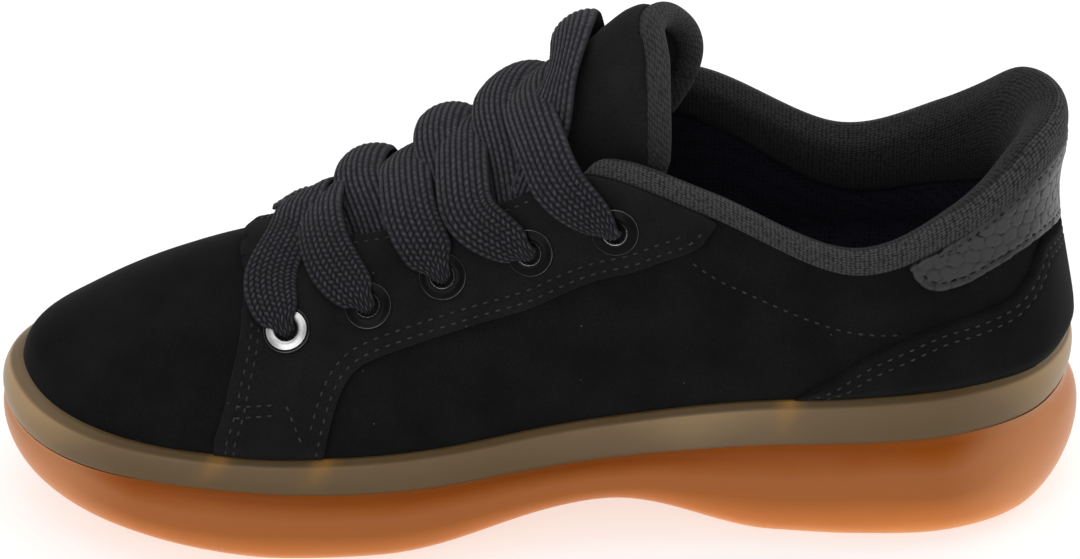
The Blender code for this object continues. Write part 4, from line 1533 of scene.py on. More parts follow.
    def facing_seams(self, front: Array, back: Array) -> list[Array]:
        """The facing's rows of stitches.

        Args:
            front: its front edge on the inner side, as places (s, t).
            back: its back edge there.

        Returns:
            Lines of places, first on the inner side, then on the outer.
        """
        start, end = self.throat_seam
        throat = np.linspace(start.s, end.s, self.THROAT_STEPS)
        rows = [
            *(Last.beside(front[6:], distance) for distance in self.front_seams),
            Last.beside(back[2:-2], self.back_seams[0]),
            Last.beside(back[8:-6], self.back_seams[1]),
            *(np.array(bar) for bar in self.leg_bars),
            np.column_stack([throat, np.full(len(throat), start.t)]),
            np.array(self.leg_seam),
        ]
        return rows + [np.column_stack([-line[::-1, 0], line[::-1, 1]]) for line in rows]

    def facing_holes(self) -> list[Array]:
        """Round openings in the facing, one for each eyelet, as loops of places (s, t).

        Returns:
            One loop for each eyelet.
        """
        turn = np.arange(self.hole_sides) * 2 * math.pi / self.hole_sides
        ds, dt = self.HOLE_DS, self.HOLE_DT
        holes = []
        for place in EYELETS:
            for s in (place.s, -place.s):
                rib = np.linalg.norm(Last.wall(s + ds, place.t) - Last.wall(s - ds, place.t)) / (2 * ds)
                tall = np.linalg.norm(Last.wall(s, place.t + dt) - Last.wall(s, place.t - dt)) / (2 * dt)
                across = s + np.cos(turn) * self.hole_radius / rib
                up = place.t + np.sin(turn) * self.hole_radius / tall
                holes.append(np.column_stack([across, up]))
        return holes

    def build(self) -> None:
        """Wall, panels and every row of stitches."""
        self.wall()
        thread = Thread("seam_stitches", THREAD, "suede_overlay")
        front, back = (Last.resample(np.array(line), self.step) for line in (self.facing, self.facing_back))
        inner = np.vstack([front, back])
        lateral = np.column_stack([-inner[::-1, 0], inner[::-1, 1]])
        end = self.facing_back[-1].s
        throat = np.linspace(end, -end, self.EDGE_STEPS)[1:-1]
        top = np.column_stack([throat, np.ones(len(throat))])
        rows = self.facing_seams(front, back)
        outline = np.vstack([lateral, inner[1:], top])
        facing = Panel("facing_suede", outline, holes=self.facing_holes(), channels=rows)
        dress(facing.build(), "suede_overlay", FACING_SUEDE_PAINTED_LIGHTER, "eyestay")
        for line in rows:
            thread.row(line, PANEL_GAP + OVERLAY - self.sunk)
        self.heel(thread)
        seam = Last.resample(np.array(self.collar_seam), self.step)
        for line in (seam, other_side(seam)):
            thread.row(line, self.wall_thread)
        thread.build()

    def heel(self, thread: Thread) -> None:
        """The counter and the embossed tab, with their stitches.

        Args:
            thread: the thread that sews the counter.
        """
        edge = Last.resample(mirrored(self.counter), self.step)[::-1]
        across = np.linspace(edge[-1, 0], edge[0, 0], self.FOOT_STEPS)
        low = np.column_stack([across, Last.band_top(across) - self.foot_tuck])
        first, second = (Last.beside(edge, distance) for distance in self.counter_seams)
        rows = [first[3:-3], second[6:-6]]
        counter = Panel("heel_counter_suede", np.vstack([low[1:-1], edge]), channels=rows)
        dress(counter.build(), "suede_overlay", SUEDE, "heel_counter")
        for line in rows:
            thread.row(line, PANEL_GAP + OVERLAY - self.sunk)
        fold = Last.resample(mirrored(self.tab), self.step)
        across = np.linspace(fold[-1, 0], fold[0, 0], self.TAB_STEPS)[1:-1]
        top = np.column_stack([across, self.tab_top(across)])
        hem = Last.beside(fold, self.hem)[2:-2]
        tab = Panel("heel_tab_leather", np.vstack([fold, top]), channels=[hem], spacing=self.tab_spacing)
        item = tab.build()
        self.emboss(item)
        dress(item, "embossed_leather", LEATHER, "heel_tab")
        sewn = Thread("tab_stitches", TAB_THREAD, "embossed_leather", pitch=2.6 * MM, length=2.1 * MM)
        sewn.row(hem, PANEL_GAP + OVERLAY - self.hem_sunk)
        across = np.linspace(self.tab_seam_from, ROUND - self.tab_seam_from, self.TAB_SEAM_STEPS)
        sewn.row(np.column_stack([across, self.tab_top(across) - self.tab_seam_drop]), PANEL_GAP + OVERLAY)
        sewn.build()

    @classmethod
    def tab_top(cls, s: Array) -> Array:
        """How far up the tab reaches at s: over the foot of the collar round the back of the heel."""
        return 1.0 + cls.TAB_RISE * ease((np.minimum(s, ROUND - s) - cls.TAB_FROM) / cls.TAB_OVER)

    @staticmethod
    def scatter(column: Array, row: Array, waves: tuple[float, float, float]) -> Array:
        """A number from -0.5 to 0.5 for each scale of the grain, the same on every run."""
        value = np.sin(column * waves[0] + row * waves[1]) * waves[2]
        return value - np.floor(value) - 0.5

    def emboss(self, item: bpy.types.Object) -> None:
        """Press a reptile grain into the tab's face: domed scales in staggered rows, grooves between.

        Args:
            item: the heel tab.
        """
        mesh = item.data
        points, facing = read(mesh.vertices, "co"), read(mesh.vertices, "normal")
        angle = np.arctan2(points[:, 1], points[:, 0] - self.HEEL_X)
        along, up = angle * self.HEEL_ROUND_MM, points[:, 2] / MM
        tall, wide = self.scale_mm, self.scale_mm * self.scale_stretch
        best = np.full((2, len(points)), np.inf)
        for d_row in (-1, 0, 1):
            for d_col in (-1, 0, 1):
                r = np.floor(up / tall) + d_row
                shift = 0.5 * (r % 2)
                c = np.floor(along / wide - shift) + d_col
                stray_x = self.scale_stray * self.scatter(c, r, (12.9898, 78.233, 43758.5453))
                stray_y = self.scale_stray * self.scatter(c, r, (39.346, 11.135, 24634.6345))
                x = (c + 0.5 + shift + stray_x) * wide
                y = (r + 0.5 + stray_y) * tall
                away = np.hypot((along - x) / self.scale_stretch, up - y)
                best[1] = np.where(away < best[0], best[0], np.minimum(best[1], away))
                best[0] = np.minimum(best[0], away)
        rise = np.clip((best[1] - best[0]) / self.groove_mm, 0.0, 1.0)
        rise = np.sqrt(1 - (1 - rise) ** 2)
        outward = np.column_stack([points[:, 0] - self.HEEL_X, points[:, 1], np.zeros(len(points))])
        front = np.sum(outward * facing, axis=1) > 0
        pressed = front * (rise - self.groove_share) * self.groove_depth
        mesh.vertices.foreach_set("co", (points + facing * pressed[:, None]).ravel())
        tag(item, "relief", rise)
        mesh.update()


class CollarStation(NamedTuple):
    """The padded collar at one rib, in millimetres."""

    s: float
    height: float
    pad: float
    drop: float
    flare: float


@dataclass
class Collar:
    """The padded knit roll round the opening."""

    along: int = 300
    around: int = 56
    axis: tuple[float, float] = (0.045, 0.095)
    stations: tuple[CollarStation, ...] = (
        CollarStation(6.96, 0.6, 0.6, 1.5, 0.0),
        CollarStation(7.04, 2.6, 1.6, 2.2, 0.0),
        CollarStation(7.16, 4.2, 2.4, 3.0, 0.0),
        CollarStation(7.50, 5.4, 3.4, 8.0, 0.0),
        CollarStation(8.00, 5.6, 4.6, 12.0, 0.0),
        CollarStation(9.00, 5.6, 6.0, 16.0, 0.0),
        CollarStation(9.70, 6.2, 6.5, 18.0, 0.2),
        CollarStation(10.40, 8.5, 7.0, 20.0, 0.5),
        CollarStation(11.00, 11.5, 7.5, 22.0, 0.4),
        CollarStation(12.00, 12.5, 7.5, 24.0, -0.4),
    )

    EDGE_SHARE = 0.03
    INSIDE_GAP = 1.3 * GAP

    @classmethod
    def section(cls, s: float, height: float, pad: float, drop: float, flare: float) -> Array:
        """Corners of the collar's section: over the wall's edge and down its inner face.

        Args:
            s: the place round the shoe.
            height: how far the roll stands above the edge.
            pad: how thick it is inside.
            drop: how far down it reaches inside.
            flare: how far it leans out.

        Returns:
            The corners, one a row.
        """
        edge, out = Last.wall(s, 1.0), Last.normal(s, 1.0)
        rise = edge - Last.wall(s, 1.0 - cls.EDGE_SHARE)
        length = np.linalg.norm(rise) / cls.EDGE_SHARE
        up = unit(rise)
        inside = WALL + cls.INSIDE_GAP

        def over(o: float, u: float) -> Array:
            """A corner out from the wall's edge and up from it."""
            return edge + out * o + up * u

        def within(o: float, share: float) -> Array:
            """A corner in from the wall's inner face, at a share of the drop."""
            t = 1.0 - drop * share / length
            return Last.wall(s, t) - Last.normal(s, t) * (inside + o)

        return np.array(
            [
                over(0.9 * MM, 0.1 * MM),
                over(1.3 * MM + 0.4 * flare, 0.42 * height),
                over(0.4 * MM + flare, 0.80 * height),
                over(flare - 1.8 * MM, height),
                over(flare * 0.6 - 1.4 * MM - 0.55 * pad, 0.9 * height),
                over(-inside - 0.9 * pad, 0.4 * height),
                within(pad, 0.25),
                within(0.75 * pad, 0.65),
                within(0.5 * MM, 1.0),
                within(0.1 * MM, 0.6),
                over(-inside, 0.2 * MM),
            ]
        )

    def build(self) -> bpy.types.Object:
        """The roll as one closed padded piece.

        Returns:
            The dressed piece.
        """
        far = [row._replace(s=ROUND - row.s) for row in reversed(self.stations[:-1])]
        table = list(self.stations) + far
        places = np.linspace(table[0].s, table[-1].s, self.along)
        keys = [row.s for row in table]
        sizes = np.transpose([smooth(keys, [row[k] * MM for row in table], places) for k in (1, 2, 3, 4)])
        rings = [spline(self.section(s, *row), self.around, closed=True) for s, row in zip(places, sizes)]
        points = np.array([np.vstack([ring, ring[:1]]) for ring in rings]).transpose(1, 0, 2)
        item = grid_piece("knit_collar", points, surface_uv(points))
        weld(item, cap=True)
        self.line(item)
        return dress(item, "knit", KNIT, "collar")

    def line(self, item: bpy.types.Object) -> None:
        """Give the roll's inner face, which looks into the shoe, a darker knit.

        Args:
            item: the collar.
        """
        item.data.materials.append(KNIT.material())
        item.data.materials.append(COLLAR_INNER_DARK_KNIT.material())
        for face in item.data.polygons:
            axis = min(max(face.center.x, self.axis[0]), self.axis[1])
            inward = face.normal.x * (face.center.x - axis) + face.normal.y * face.center.y
            face.material_index = 1 if inward < 0.0 else 0


class TongueStation(NamedTuple):
    """One section of the tongue, in millimetres.

    Its face is at x and z, it turns and shifts to one side, and sweep bends its sides back below the
    bound edge.
    """

    x: float
    z: float
    half_width: float
    depth: float
    thickness: float
    turn: float
    side: float
    sweep: float = 0.0


@dataclass
class Tongue:
    """The padded suede tongue and its rolled knit edge."""

    along: int = 120
    across: int = 49
    binding_radius: float = 3.5 * MM
    bound_from: float = 6.0
    near_edge_x: float = 26.5 * MM
    far_sweep: float = 0.55
    side_thin: float = 0.35
    sewn_at: float = 0.4
    roll_out: float = 0.7
    roll_tip: float = 0.6
    roll_taper: int = 20
    roll_steps: int = 220
    roll_sides: int = 33
    rise_steps: int = 24
    top_steps: int = 11
    rounds: int = 16
    lean: tuple[float, float, float] = (0.35, 0.0, 0.94)
    stations: tuple[TongueStation, ...] = (
        TongueStation(-76.0, 65.4, 10.0, 2.2, 2.0, 0.0, 0.0, 0.0),
        TongueStation(-66.0, 67.2, 11.5, 3.8, 2.2, 0.0, 0.0, 0.0),
        TongueStation(-59.0, 69.8, 13.0, 6.0, 3.0, 0.0, 0.0, 0.0),
        TongueStation(-52.0, 76.5, 14.5, 9.0, 4.2, 0.0, 0.3, 0.0),
        TongueStation(-38.0, 86.0, 17.5, 12.0, 5.2, 1.0, 0.8, 3.0),
        TongueStation(-17.0, 97.5, 18.5, 15.0, 6.0, 2.5, 1.5, 10.0),
        TongueStation(-1.0, 109.5, 18.0, 19.0, 6.2, 4.0, 2.2),
        TongueStation(9.0, 122.0, 17.5, 21.0, 6.2, 5.5, 3.0),
        TongueStation(15.5, 129.0, 17.0, 18.0, 6.2, 6.0, 3.6),
        TongueStation(20.0, 132.4, 15.5, 13.5, 6.0, 5.0, 4.0),
        TongueStation(23.0, 133.4, 13.0, 9.5, 5.6, 4.0, 4.2),
        TongueStation(24.8, 133.4, 9.5, 6.0, 5.0, 2.5, 4.3),
    )

    def frame(self, k: float) -> tuple[list[float], Array]:
        """The tongue's sizes at station k and its face's direction; a bound near edge stands upright.

        Args:
            k: station number, with parts.

        Returns:
            Sizes in metres and a unit vector.
        """
        index = np.arange(len(self.stations))
        columns = list(np.array(self.stations).T * MM)
        x, z, _, depth, _, turn, _, sweep = columns
        slopes = np.arctan2(np.gradient(z), np.gradient(x))
        upright = self.near_edge_x - (x - turn + np.sin(slopes) * depth)
        columns[-1] = np.where(index < self.bound_from, sweep, upright)
        sizes = [float(smooth(index, column, k)) for column in columns]
        slope = float(smooth(index, slopes, k))
        return sizes, np.array([-math.sin(slope), 0.0, math.cos(slope)])

    def point(self, k: float, angle: float, inward: float = 0.0) -> Array:
        """A point at station k, at an angle round its section, some way in from its face.

        Args:
            k: station number, with parts.
            angle: 0 at the crest.
            inward: distance in from the face.

        Returns:
            The point.
        """
        (x, z, half_width, depth, _, turn, side, sweep), face = self.frame(k)
        reach = 1.0 if angle < 0.0 else self.far_sweep
        shift = turn * math.sin(angle) + sweep * reach * math.sin(angle) ** 4
        centre = np.array([x + shift, side, z]) - face * depth
        width = np.array([0.0, (half_width - inward) * math.sin(angle), 0.0])
        return centre + face * (depth - inward) * math.cos(angle) + width

    def facing(self, k: float, angle: float) -> Array:
        """Which way the face looks at station k and an angle round its section."""
        (_, _, half_width, depth, *_), face = self.frame(k)
        return unit(face * math.cos(angle) / depth + np.array([0.0, math.sin(angle) / half_width, 0.0]))

    def pad(self) -> bpy.types.Object:
        """The padded body: a crowned closed form, thinner towards its sides.

        Returns:
            The dressed piece.
        """
        last = len(self.stations) - 1.0
        angles = np.linspace(-0.5 * math.pi, 0.5 * math.pi, self.across)
        rings = []
        for k in np.linspace(0.0, last, self.along):
            thick = self.frame(k)[0][4]
            face = [self.point(k, a) for a in angles]
            depths = [thick * (1 - self.side_thin * math.sin(a) ** 6) for a in angles[::-1]]
            back = [self.point(k, a, depth) for a, depth in zip(angles[::-1], depths)]
            rings.append(np.array(face + back + face[:1]))
        item = grid_piece("tongue_pad", np.array(rings).transpose(1, 0, 2))
        weld(item, cap=True)
        return dress(item, "suede", TONGUE_SUEDE_PAINTED_LIGHTER, "tongue")

    def binding(self) -> bpy.types.Object:
        """The rolled edge: up one side, over the top and down the other.

        Returns:
            The dressed piece.
        """
        last = len(self.stations) - 1.0
        quarter = 0.5 * math.pi
        rise = [(k, quarter) for k in np.linspace(self.bound_from, last, self.rise_steps)]
        over = [(last, a) for a in np.linspace(-quarter, quarter, self.top_steps)[1:-1]]
        places = [(k, -a) for k, a in rise] + over + rise[::-1]
        edge = np.array([self.point(k, a, self.sewn_at * self.frame(k)[0][4]) for k, a in places])
        away = unit(np.cross(np.gradient(edge, axis=0), [self.facing(k, a) for k, a in places]))
        path = edge + away * self.roll_out * self.binding_radius
        for _ in range(self.rounds):
            path[1:-1] = 0.5 * path[1:-1] + 0.25 * (path[:-2] + path[2:])
        path = spline(path, self.roll_steps)
        ahead = unit(np.gradient(path, axis=0))
        side = unit(np.cross(ahead, np.array(self.lean)))
        up = np.cross(side, ahead)
        turn = np.linspace(0.0, 2 * math.pi, self.roll_sides)
        ring = np.cos(turn)[:, None, None] * side + np.sin(turn)[:, None, None] * up
        steps = np.arange(self.roll_steps)
        taper = np.minimum(1.0, self.roll_tip + np.minimum(steps, steps[::-1]) / self.roll_taper)
        points = path + ring * (self.binding_radius * taper)[:, None]
        item = grid_piece("tongue_binding_knit", points, surface_uv(points))
        weld(item, cap=True)
        return dress(item, "knit", BINDING_KNIT, "tongue_binding")


@dataclass
class Eyelet:
    """A turned eyelet: enamelled flange, bright barrel, lighter metal rim as a painted highlight. Its section
    is in millimetres.
    """

    index: int
    side: Side
    segments: int = 48
    section: tuple[tuple[float, float], ...] = (
        (2.75, -3.8), (2.70, -2.0), (2.70, 0.0), (2.74, 0.45), (2.86, 0.80), (3.14, 1.05),
        (3.90, 1.14), (4.60, 0.95), (5.20, 0.72), (5.55, 0.62), (5.75, 0.60), (5.92, 0.45),
        (5.95, 0.20), (5.90, 0.02), (3.30, 0.02), (3.20, -3.8),
    )

    RIM, RIM_HEIGHT = 5.8 * MM, 0.3 * MM
    FLANGE, FOOT = 5.3 * MM, 0.2 * MM
    BARREL = 3.05 * MM

    def build(self) -> bpy.types.Object:
        """Turn the section about the eyelet's axis.

        Returns:
            The dressed piece.
        """
        centre, look = eyelet_axis(self.index, self.side)
        across = unit(np.cross(look, np.array([0.0, 0.0, 1.0])))
        up = np.cross(look, across)
        turn = np.linspace(0.0, 2 * math.pi, self.segments + 1)
        spoke = np.cos(turn)[:, None] * across + np.sin(turn)[:, None] * up
        ring = np.array([*self.section, self.section[0]])
        points = centre + (ring[:, :1, None] * spoke[None] + ring[:, 1:, None] * look) * MM
        word = "medial" if self.side is Side.INNER else "lateral"
        item = grid_piece(f"eyelet_ring_{word}_{self.index + 1}", points)
        weld(item)
        face_finish = NICKEL if self.index == 0 and self.side is Side.INNER else ENAMEL
        for finish in (face_finish, NICKEL, ENAMEL, RIM_PAINTED_HIGHLIGHT):
            item.data.materials.append(finish.material())
        for face in item.data.polygons:
            away = np.array(face.center) - centre
            height = float(away @ look)
            radius = float(np.linalg.norm(away - look * height))
            # Painted highlight: the outer rim gets a lighter metal than the enamel.
            if radius > self.RIM and height > self.RIM_HEIGHT:
                face.material_index = 3
            elif radius > self.FLANGE or height < self.FOOT:
                face.material_index = 2
            else:
                face.material_index = 1 if radius < self.BARREL else 0
        return dress(item, "eyelet_metal", face_finish, f"eyelet_{word}_{self.index + 1}")


class Strand(NamedTuple):
    """One pass of the lace, in millimetres.

    It leaves an eyelet on one side, crosses that side's edge, the crest and the far edge at three x,
    rides above its bed by lift until it ducks under other passes, and bellies along the facing.
    """

    eyelet: int
    side: Side
    own_edge_x: float
    crest_x: float
    far_edge_x: float
    lift: float
    duck: float
    belly: float


@dataclass
class Laces:
    """The flat braided lace, pass by pass, each later one lying over the earlier ones."""

    tongue: Tongue
    width: float = 14.0 * MM
    thickness: float = 1.8 * MM
    step: float = 0.46 * MM
    across: int = 46
    under: int = 10
    yarn: float = 1.56 * MM
    stitch: float = 1.7 * MM
    facing_share: float = 0.4
    arch: float = 2.6
    tilt: float = 0.18
    first_lean: float = -0.8
    outer_lean: float = 1.4
    inner_low: float = 2.2
    outer_low: float = 0.3
    clear: float = 0.3 * MM
    flange: float = 1.6 * MM
    sink: float = 9.0 * MM
    least_gap: float = 2.2 * MM
    tight: float = 7.0 * MM
    tight_over: float = 4.0 * MM
    tight_least: float = 0.05
    rounds: int = 150
    path_points: int = 400
    relief: float = 0.42 * MM
    edge_relief: float = 0.35
    under_tone: float = 0.4
    strands: tuple[Strand, ...] = (
        Strand(0, Side.OUTER, -57.0, -53.0, -47.0, 2.0, 1.2, 0.0),
        Strand(0, Side.INNER, -59.0, -55.5, -46.0, 4.8, 1.45, 0.0),
        Strand(1, Side.INNER, -52.5, -51.0, -41.0, 3.8, 1.1, 0.5),
        Strand(1, Side.OUTER, -41.0, -43.0, -37.0, 4.8, 1.3, 0.0),
        Strand(2, Side.INNER, -30.5, -31.5, -20.0, 4.0, 1.1, 0.5),
        Strand(2, Side.OUTER, -20.5, -23.0, -18.0, 5.2, 1.3, 0.0),
        Strand(3, Side.INNER, -17.5, -17.5, -4.0, 4.0, 1.1, 0.5),
        Strand(3, Side.OUTER, 0.0, -8.5, -4.0, 5.2, 1.3, 0.0),
        Strand(4, Side.INNER, 5.0, -0.5, 10.0, 4.0, 1.1, -1.0),
        Strand(4, Side.OUTER, 31.0, 9.5, -6.0, 3.8, 1.3, 0.0),
    )

    CROSSING = (0.0, 0.12, 0.3, 0.55, 0.8, 1.05, 1.3, 1.5, 1.65, 1.8)
    RISE_FROM, RISE_OVER = -0.5, 1.15
    DUCK_OVER = 0.6
    FLANGE_OVER = 0.5
    SINK_FROM, SINK_OVER = 1.3, 0.5
    TURNED = 0.2
    OPEN_AT, OPEN_SHARE = (0.0, 0.12, 0.3, 0.5), (0.46, 0.74, 0.94, 1.0)
    THROAT_END, THROAT_STEPS = 7.0, 141

    def crest(self, x: float) -> float:
        """How high the tongue's crest is at x."""
        rows = self.tongue.stations
        return float(smooth([row.x * MM for row in rows], [row.z * MM for row in rows], x))

    def bed(self, s: float, v: float, side: Side, out: float) -> Array:
        """Where a lace may lie: on the facing for v below 0, then over the tongue to the far edge at 2.

        Args:
            s: place round the shoe.
            v: place along the pass.
            side: side of its eyelet.
            out: distance above the bed.

        Returns:
            The point.
        """
        own, other = (s, ROUND - s) if side is Side.INNER else (ROUND - s, s)
        lift = PANEL_GAP + OVERLAY + out
        if v <= 0.0:
            t = 1.0 + self.facing_share * v
            return Last.wall(own, t) + Last.normal(own, t) * lift
        ends = [Last.wall(at, 1.0) + Last.normal(at, 1.0) * lift for at in (own, other)]
        foot = ends[0] + (ends[1] - ends[0]) * 0.5 * v
        rise = max(self.crest(foot[0]) + out - foot[2], 0.0) * (1.0 - abs(v - 1.0) ** self.arch)
        return foot + np.array([0.0, 0.0, rise])

    def throat_rib(self, x: float) -> float:
        """The rib at which the throat's edge lies at x."""
        s = np.linspace(0.0, self.THROAT_END, self.THROAT_STEPS)
        return float(np.interp(x, Last.wall(s, np.ones_like(s))[:, 0], s))

    def ride(self, strand: Strand, v: float) -> float:
        """How far a pass rides above its bed at v: high on its own side, low once it ducks under others.

        Args:
            strand: the pass.
            v: place along it.

        Returns:
            The distance in metres.
        """
        high = strand.lift * ease((v - self.RISE_FROM) / self.RISE_OVER)
        duck = ease((v - strand.duck + 0.5 * self.DUCK_OVER) / self.DUCK_OVER)
        low = self.inner_low if strand.side is Side.INNER else self.outer_low
        return float(high + (low - high) * duck) * MM

    def path(self, strand: Strand) -> tuple[Array, Array, Array, Array]:
        """A pass's centre line, width direction, width share and place, from its eyelet to the far edge.

        Args:
            strand: the pass.

        Returns:
            Four arrays with one row for each point of the path.
        """
        start, look = eyelet_axis(strand.eyelet, strand.side)
        row = EYELETS[strand.eyelet]
        first = (row.t - 1.0) / self.facing_share
        keys = [first, 0.0, 1.0, 2.0]
        ribs = [row.s, *(self.throat_rib(x * MM) for x in strand[2:5])]
        ahead, behind = (self.bed(row.s + turn, first, strand.side, 0.0) for turn in (0.1, -0.1))
        facing = unit(ahead - behind)
        aim = self.bed(float(smooth(keys, ribs, first + 0.2)), first + 0.2, strand.side, 0.0) - start
        aim = unit(aim - look * (aim @ look)) * MM
        centre = [
            start - look * 5.0 * MM + aim * 0.5,
            start - look * 1.5 * MM + aim * 0.8,
            start + look * 1.3 * MM + aim * 1.4,
        ]
        across = [facing] * 3
        wide = [0.34, 0.34, 0.42]
        marks = [first - 0.2, first - 0.1, first]
        for v in [first + 0.11, *np.linspace(first + 0.24, -0.12, 3), *self.CROSSING]:
            share = min(max((v - first) / -first, 0.0), 1.0)
            s = float(smooth(keys, ribs, v))
            out = self.clear + 0.5 * self.thickness + self.ride(strand, v)
            flange = self.flange * max(0.0, 1.0 - (v - first) / self.FLANGE_OVER)
            sink = self.sink * float(ease((v - self.SINK_FROM) / self.SINK_OVER))
            belly = facing * strand.belly * MM * math.sin(math.pi * share)
            point = self.bed(s, v, strand.side, out + flange) + belly - np.array([0.0, 0.0, sink])
            if np.linalg.norm(point - centre[-1]) < self.least_gap:
                continue
            slope = (self.crest(point[0] + MM) - self.crest(point[0] - MM)) / (2 * MM)
            turn = min(max((v - first) / (self.TURNED - first), 0.0), 1.0)
            centre.append(point)
            across.append(facing * (1.0 - turn) + np.array([1.0, 0.0, slope]) * turn)
            wide.append(float(smooth(self.OPEN_AT, self.OPEN_SHARE, v - first)))
            marks.append(v)
        return np.array(centre), np.array(across), np.array(wide), np.array(marks)

    def ribbon(self, strand: Strand) -> tuple[Array, Array]:
        """A pass's surface as rings of points, with its weave height for each point.

        Args:
            strand: the pass.

        Returns:
            The rings, and a height for each of their points.
        """
        centre, across, wide, marks = self.path(strand)
        rough = spline(centre, self.path_points)
        run = arc_lengths(rough)
        count = int(run[-1] / self.step)
        along = np.linspace(0.0, run[-1], count)
        at = np.interp(along, run, np.linspace(0.0, len(centre) - 1.0, self.path_points))
        keys = np.arange(len(centre))
        middle = np.stack([np.interp(along, run, rough[:, k]) for k in range(3)], axis=1)
        loose = np.clip((along[1:-1, None] - self.tight) / self.tight_over, self.tight_least, 1.0)
        for _ in range(self.rounds):
            middle[1:-1] += loose * 0.25 * (middle[:-2] + middle[2:] - 2 * middle[1:-1])
        sides = np.stack([np.interp(at, keys, across[:, k]) for k in range(3)], axis=1)
        share = smooth(keys, wide, at)
        v = np.interp(at, keys, marks)
        ahead = unit(np.gradient(middle, axis=0))
        sides = unit(sides - ahead * np.sum(sides * ahead, axis=1, keepdims=True))
        up = -strand.side * np.cross(sides, ahead)
        over = np.clip((v + 0.35) / 0.6, 0.0, 1.0) * np.clip((1.2 - v) / 0.4, 0.0, 1.0)
        near = strand.side is Side.INNER
        inner_lean = 1.0 if strand.eyelet else self.first_lean
        lean = over * self.tilt * (inner_lean if near else self.outer_lean)
        sides_t = unit(sides - up * lean[:, None])
        up_t = unit(up + sides * lean[:, None])
        a = np.linspace(-0.5, 0.5, self.across)
        b = np.linspace(0.5, -0.5, self.under + 2)[1:-1]
        edge = (1 - np.abs(2 * np.concatenate([a, b])) ** 6) ** 0.5
        weave = self.weave(a, along, v)
        half = 0.5 * self.thickness
        puff = 0.9 + 1.2 * (1 - share) + over * (0.3 if near else 1.3)
        bow = MM * puff[:, None] * (1 - (2 * np.concatenate([a, b])) ** 2)
        crown = edge[: self.across]
        top = half * crown + (weave - 0.5) * self.relief * np.minimum(crown + self.edge_relief, 1.0)
        low = np.broadcast_to(-half * edge[self.across :], (count, self.under))
        rise = np.concatenate([top, low], axis=1) + bow
        reach = np.concatenate([a, b])[None] * (share * self.width)[:, None]
        ring = middle[:, None] + sides_t[:, None] * reach[..., None] + up_t[:, None] * rise[..., None]
        # The weave height sets the braid's painted highlights on crowns and painted shade in dips.
        tone = np.concatenate([weave, np.full((count, self.under), self.under_tone)], axis=1)
        return np.concatenate([ring, ring[:, :1]], axis=1), np.concatenate([tone, tone[:, :1]], axis=1)

    def weave(self, a: Array, along: Array, v: Array) -> Array:
        """Height of the braid, from 0 to 1: columns of slanted stitches, plainer over the crest.

        Args:
            a: places across the lace.
            along: distances along it.
            v: place along the pass.

        Returns:
            A row of heights for each distance.
        """
        place = (a + 0.5) * self.width / self.yarn
        column = np.floor(place)
        frac = place - column
        rib = np.sin(math.pi * frac) ** 0.7
        slant = np.where(column % 2 == 0, 1.0, -1.0)
        phase = along[:, None] / self.stitch + (slant * (frac - 0.5) * 0.55 + 0.5 * (column % 2))[None]
        stitch = 0.5 + 0.5 * np.cos(2 * math.pi * phase)
        coarse = (0.85 - 0.6 * np.clip((v + 0.35) / 0.7, 0.0, 1.0))[:, None]
        return rib[None] * (1 - coarse + coarse * stitch)

    def build(self) -> bpy.types.Object:
        """All passes joined as one piece.

        Returns:
            The dressed piece.
        """
        parts = []
        for number, strand in enumerate(self.strands):
            points, tone = self.ribbon(strand)
            item = grid_piece(f"lace_pass_{number}", points)
            tag(item, "weave", tone)
            weld(item, cap=True)
            parts.append(item)
        activate(parts[0])
        for item in parts:
            item.select_set(True)
        bpy.ops.object.join()
        parts[0].name = "braided_laces"
        return dress(parts[0], "lace", BRAID, "laces")


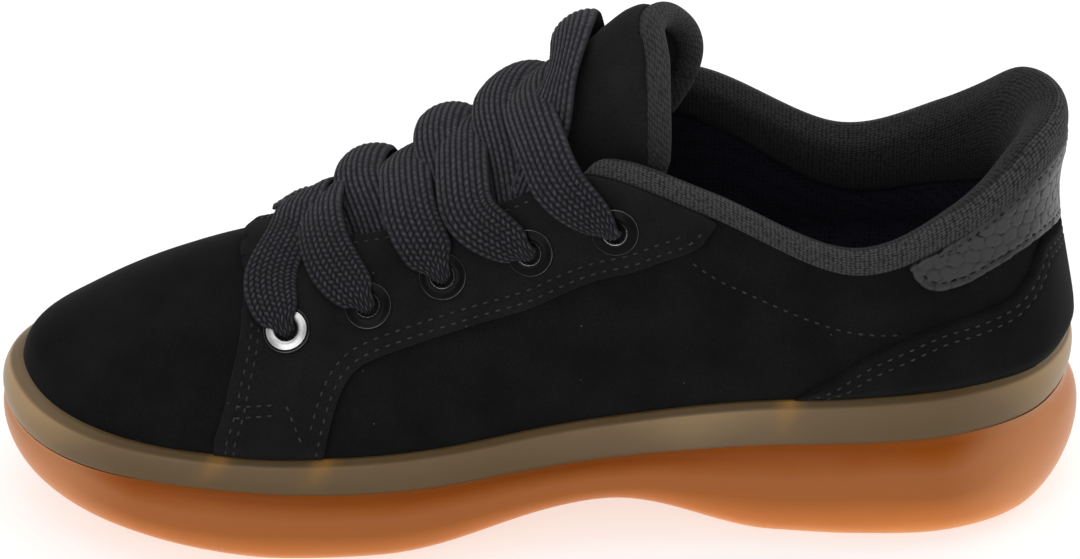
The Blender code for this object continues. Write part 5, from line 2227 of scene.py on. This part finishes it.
class Studio:
    """Camera, floor and soft light."""

    TARGET = Vector((0.0, 0.0, 0.0575))
    DISTANCE = 1.15
    ELEVATION = math.radians(32.0)
    PIXELS_PER_METRE = 3888.0
    FRAME_WIDTH = 1080.0
    SENSOR = 36.0
    CLIP = (0.01, 20.0)
    ROOM_LIGHT = 0.62
    FLOOR_SIZE = 12.0

    class Lamp(Enum):
        """Soft lamps: place, size and power."""

        TOP = ((-0.1, 0.1, 1.5), 1.5, 9.0)
        KEY = ((-0.4, -1.2, 0.75), 1.0, 6.0)
        BACK = ((1.1, 0.45, 0.8), 1.0, 6.0)

    def camera(self) -> None:
        """The photograph's view: square to the shoe's inner side, from above."""
        data = bpy.data.cameras.new("camera")
        data.sensor_width = self.SENSOR
        data.lens = self.SENSOR * self.PIXELS_PER_METRE * self.DISTANCE / self.FRAME_WIDTH
        item = bpy.data.objects.new("camera", data)
        bpy.context.scene.collection.objects.link(item)
        back = Vector((0.0, -math.cos(self.ELEVATION), math.sin(self.ELEVATION)))
        item.location = self.TARGET + back * self.DISTANCE
        item.rotation_euler = (-back).to_track_quat("-Z", "Y").to_euler()
        data.clip_start, data.clip_end = self.CLIP
        bpy.context.scene.camera = item

    def light(self) -> None:
        """A bright even room with soft lamps."""
        bpy.context.scene.view_settings.view_transform = "Standard"
        world = bpy.data.worlds.new("room")
        bpy.context.scene.world = world
        world.use_nodes = True
        back = world.node_tree.nodes["Background"]
        back.inputs["Color"].default_value = (1.0, 1.0, 1.0, 1.0)
        back.inputs["Strength"].default_value = self.ROOM_LIGHT
        for lamp in self.Lamp:
            place, size, power = lamp.value
            data = bpy.data.lights.new(lamp.name.lower(), "AREA")
            data.size = size
            data.energy = power
            item = bpy.data.objects.new(lamp.name.lower(), data)
            bpy.context.scene.collection.objects.link(item)
            item.location = place
            item.rotation_euler = (self.TARGET - Vector(place)).to_track_quat("-Z", "Y").to_euler()

    def floor(self) -> None:
        """A plain pale floor that glows a little, to come out near to white."""
        bpy.ops.object.select_all(action="DESELECT")
        bpy.ops.mesh.primitive_plane_add(size=self.FLOOR_SIZE)
        item = bpy.context.object
        item.name = "floor"
        material, _, _ = new_material(
            "lit_floor",
            Base_Color=linear("#b0b0b0"),
            Roughness=0.9,
            Emission_Color=linear("#ffffff"),
            Emission_Strength=0.6,
        )
        item.data.materials.append(material)

    def build(self) -> None:
        """Camera, light and floor."""
        self.camera()
        self.light()
        self.floor()


def main() -> None:
    """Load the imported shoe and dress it."""
    logging.basicConfig(level=logging.INFO, format="%(message)s")
    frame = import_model()
    Studio().build()
    sole = Sole()
    sole.outsole()
    sole.sidewall()
    Upper().build()
    Collar().build()
    tongue = Tongue()
    tongue.pad()
    tongue.binding()
    for side in Side:
        for index in range(len(EYELETS)):
            Eyelet(index, side).build()
    Laces(tongue).build()
    insole = frame["nodes"]["insole"]
    insole.data.materials.clear()
    insole.data.materials.append(LINING.material())


if __name__ == "__main__":
    main()
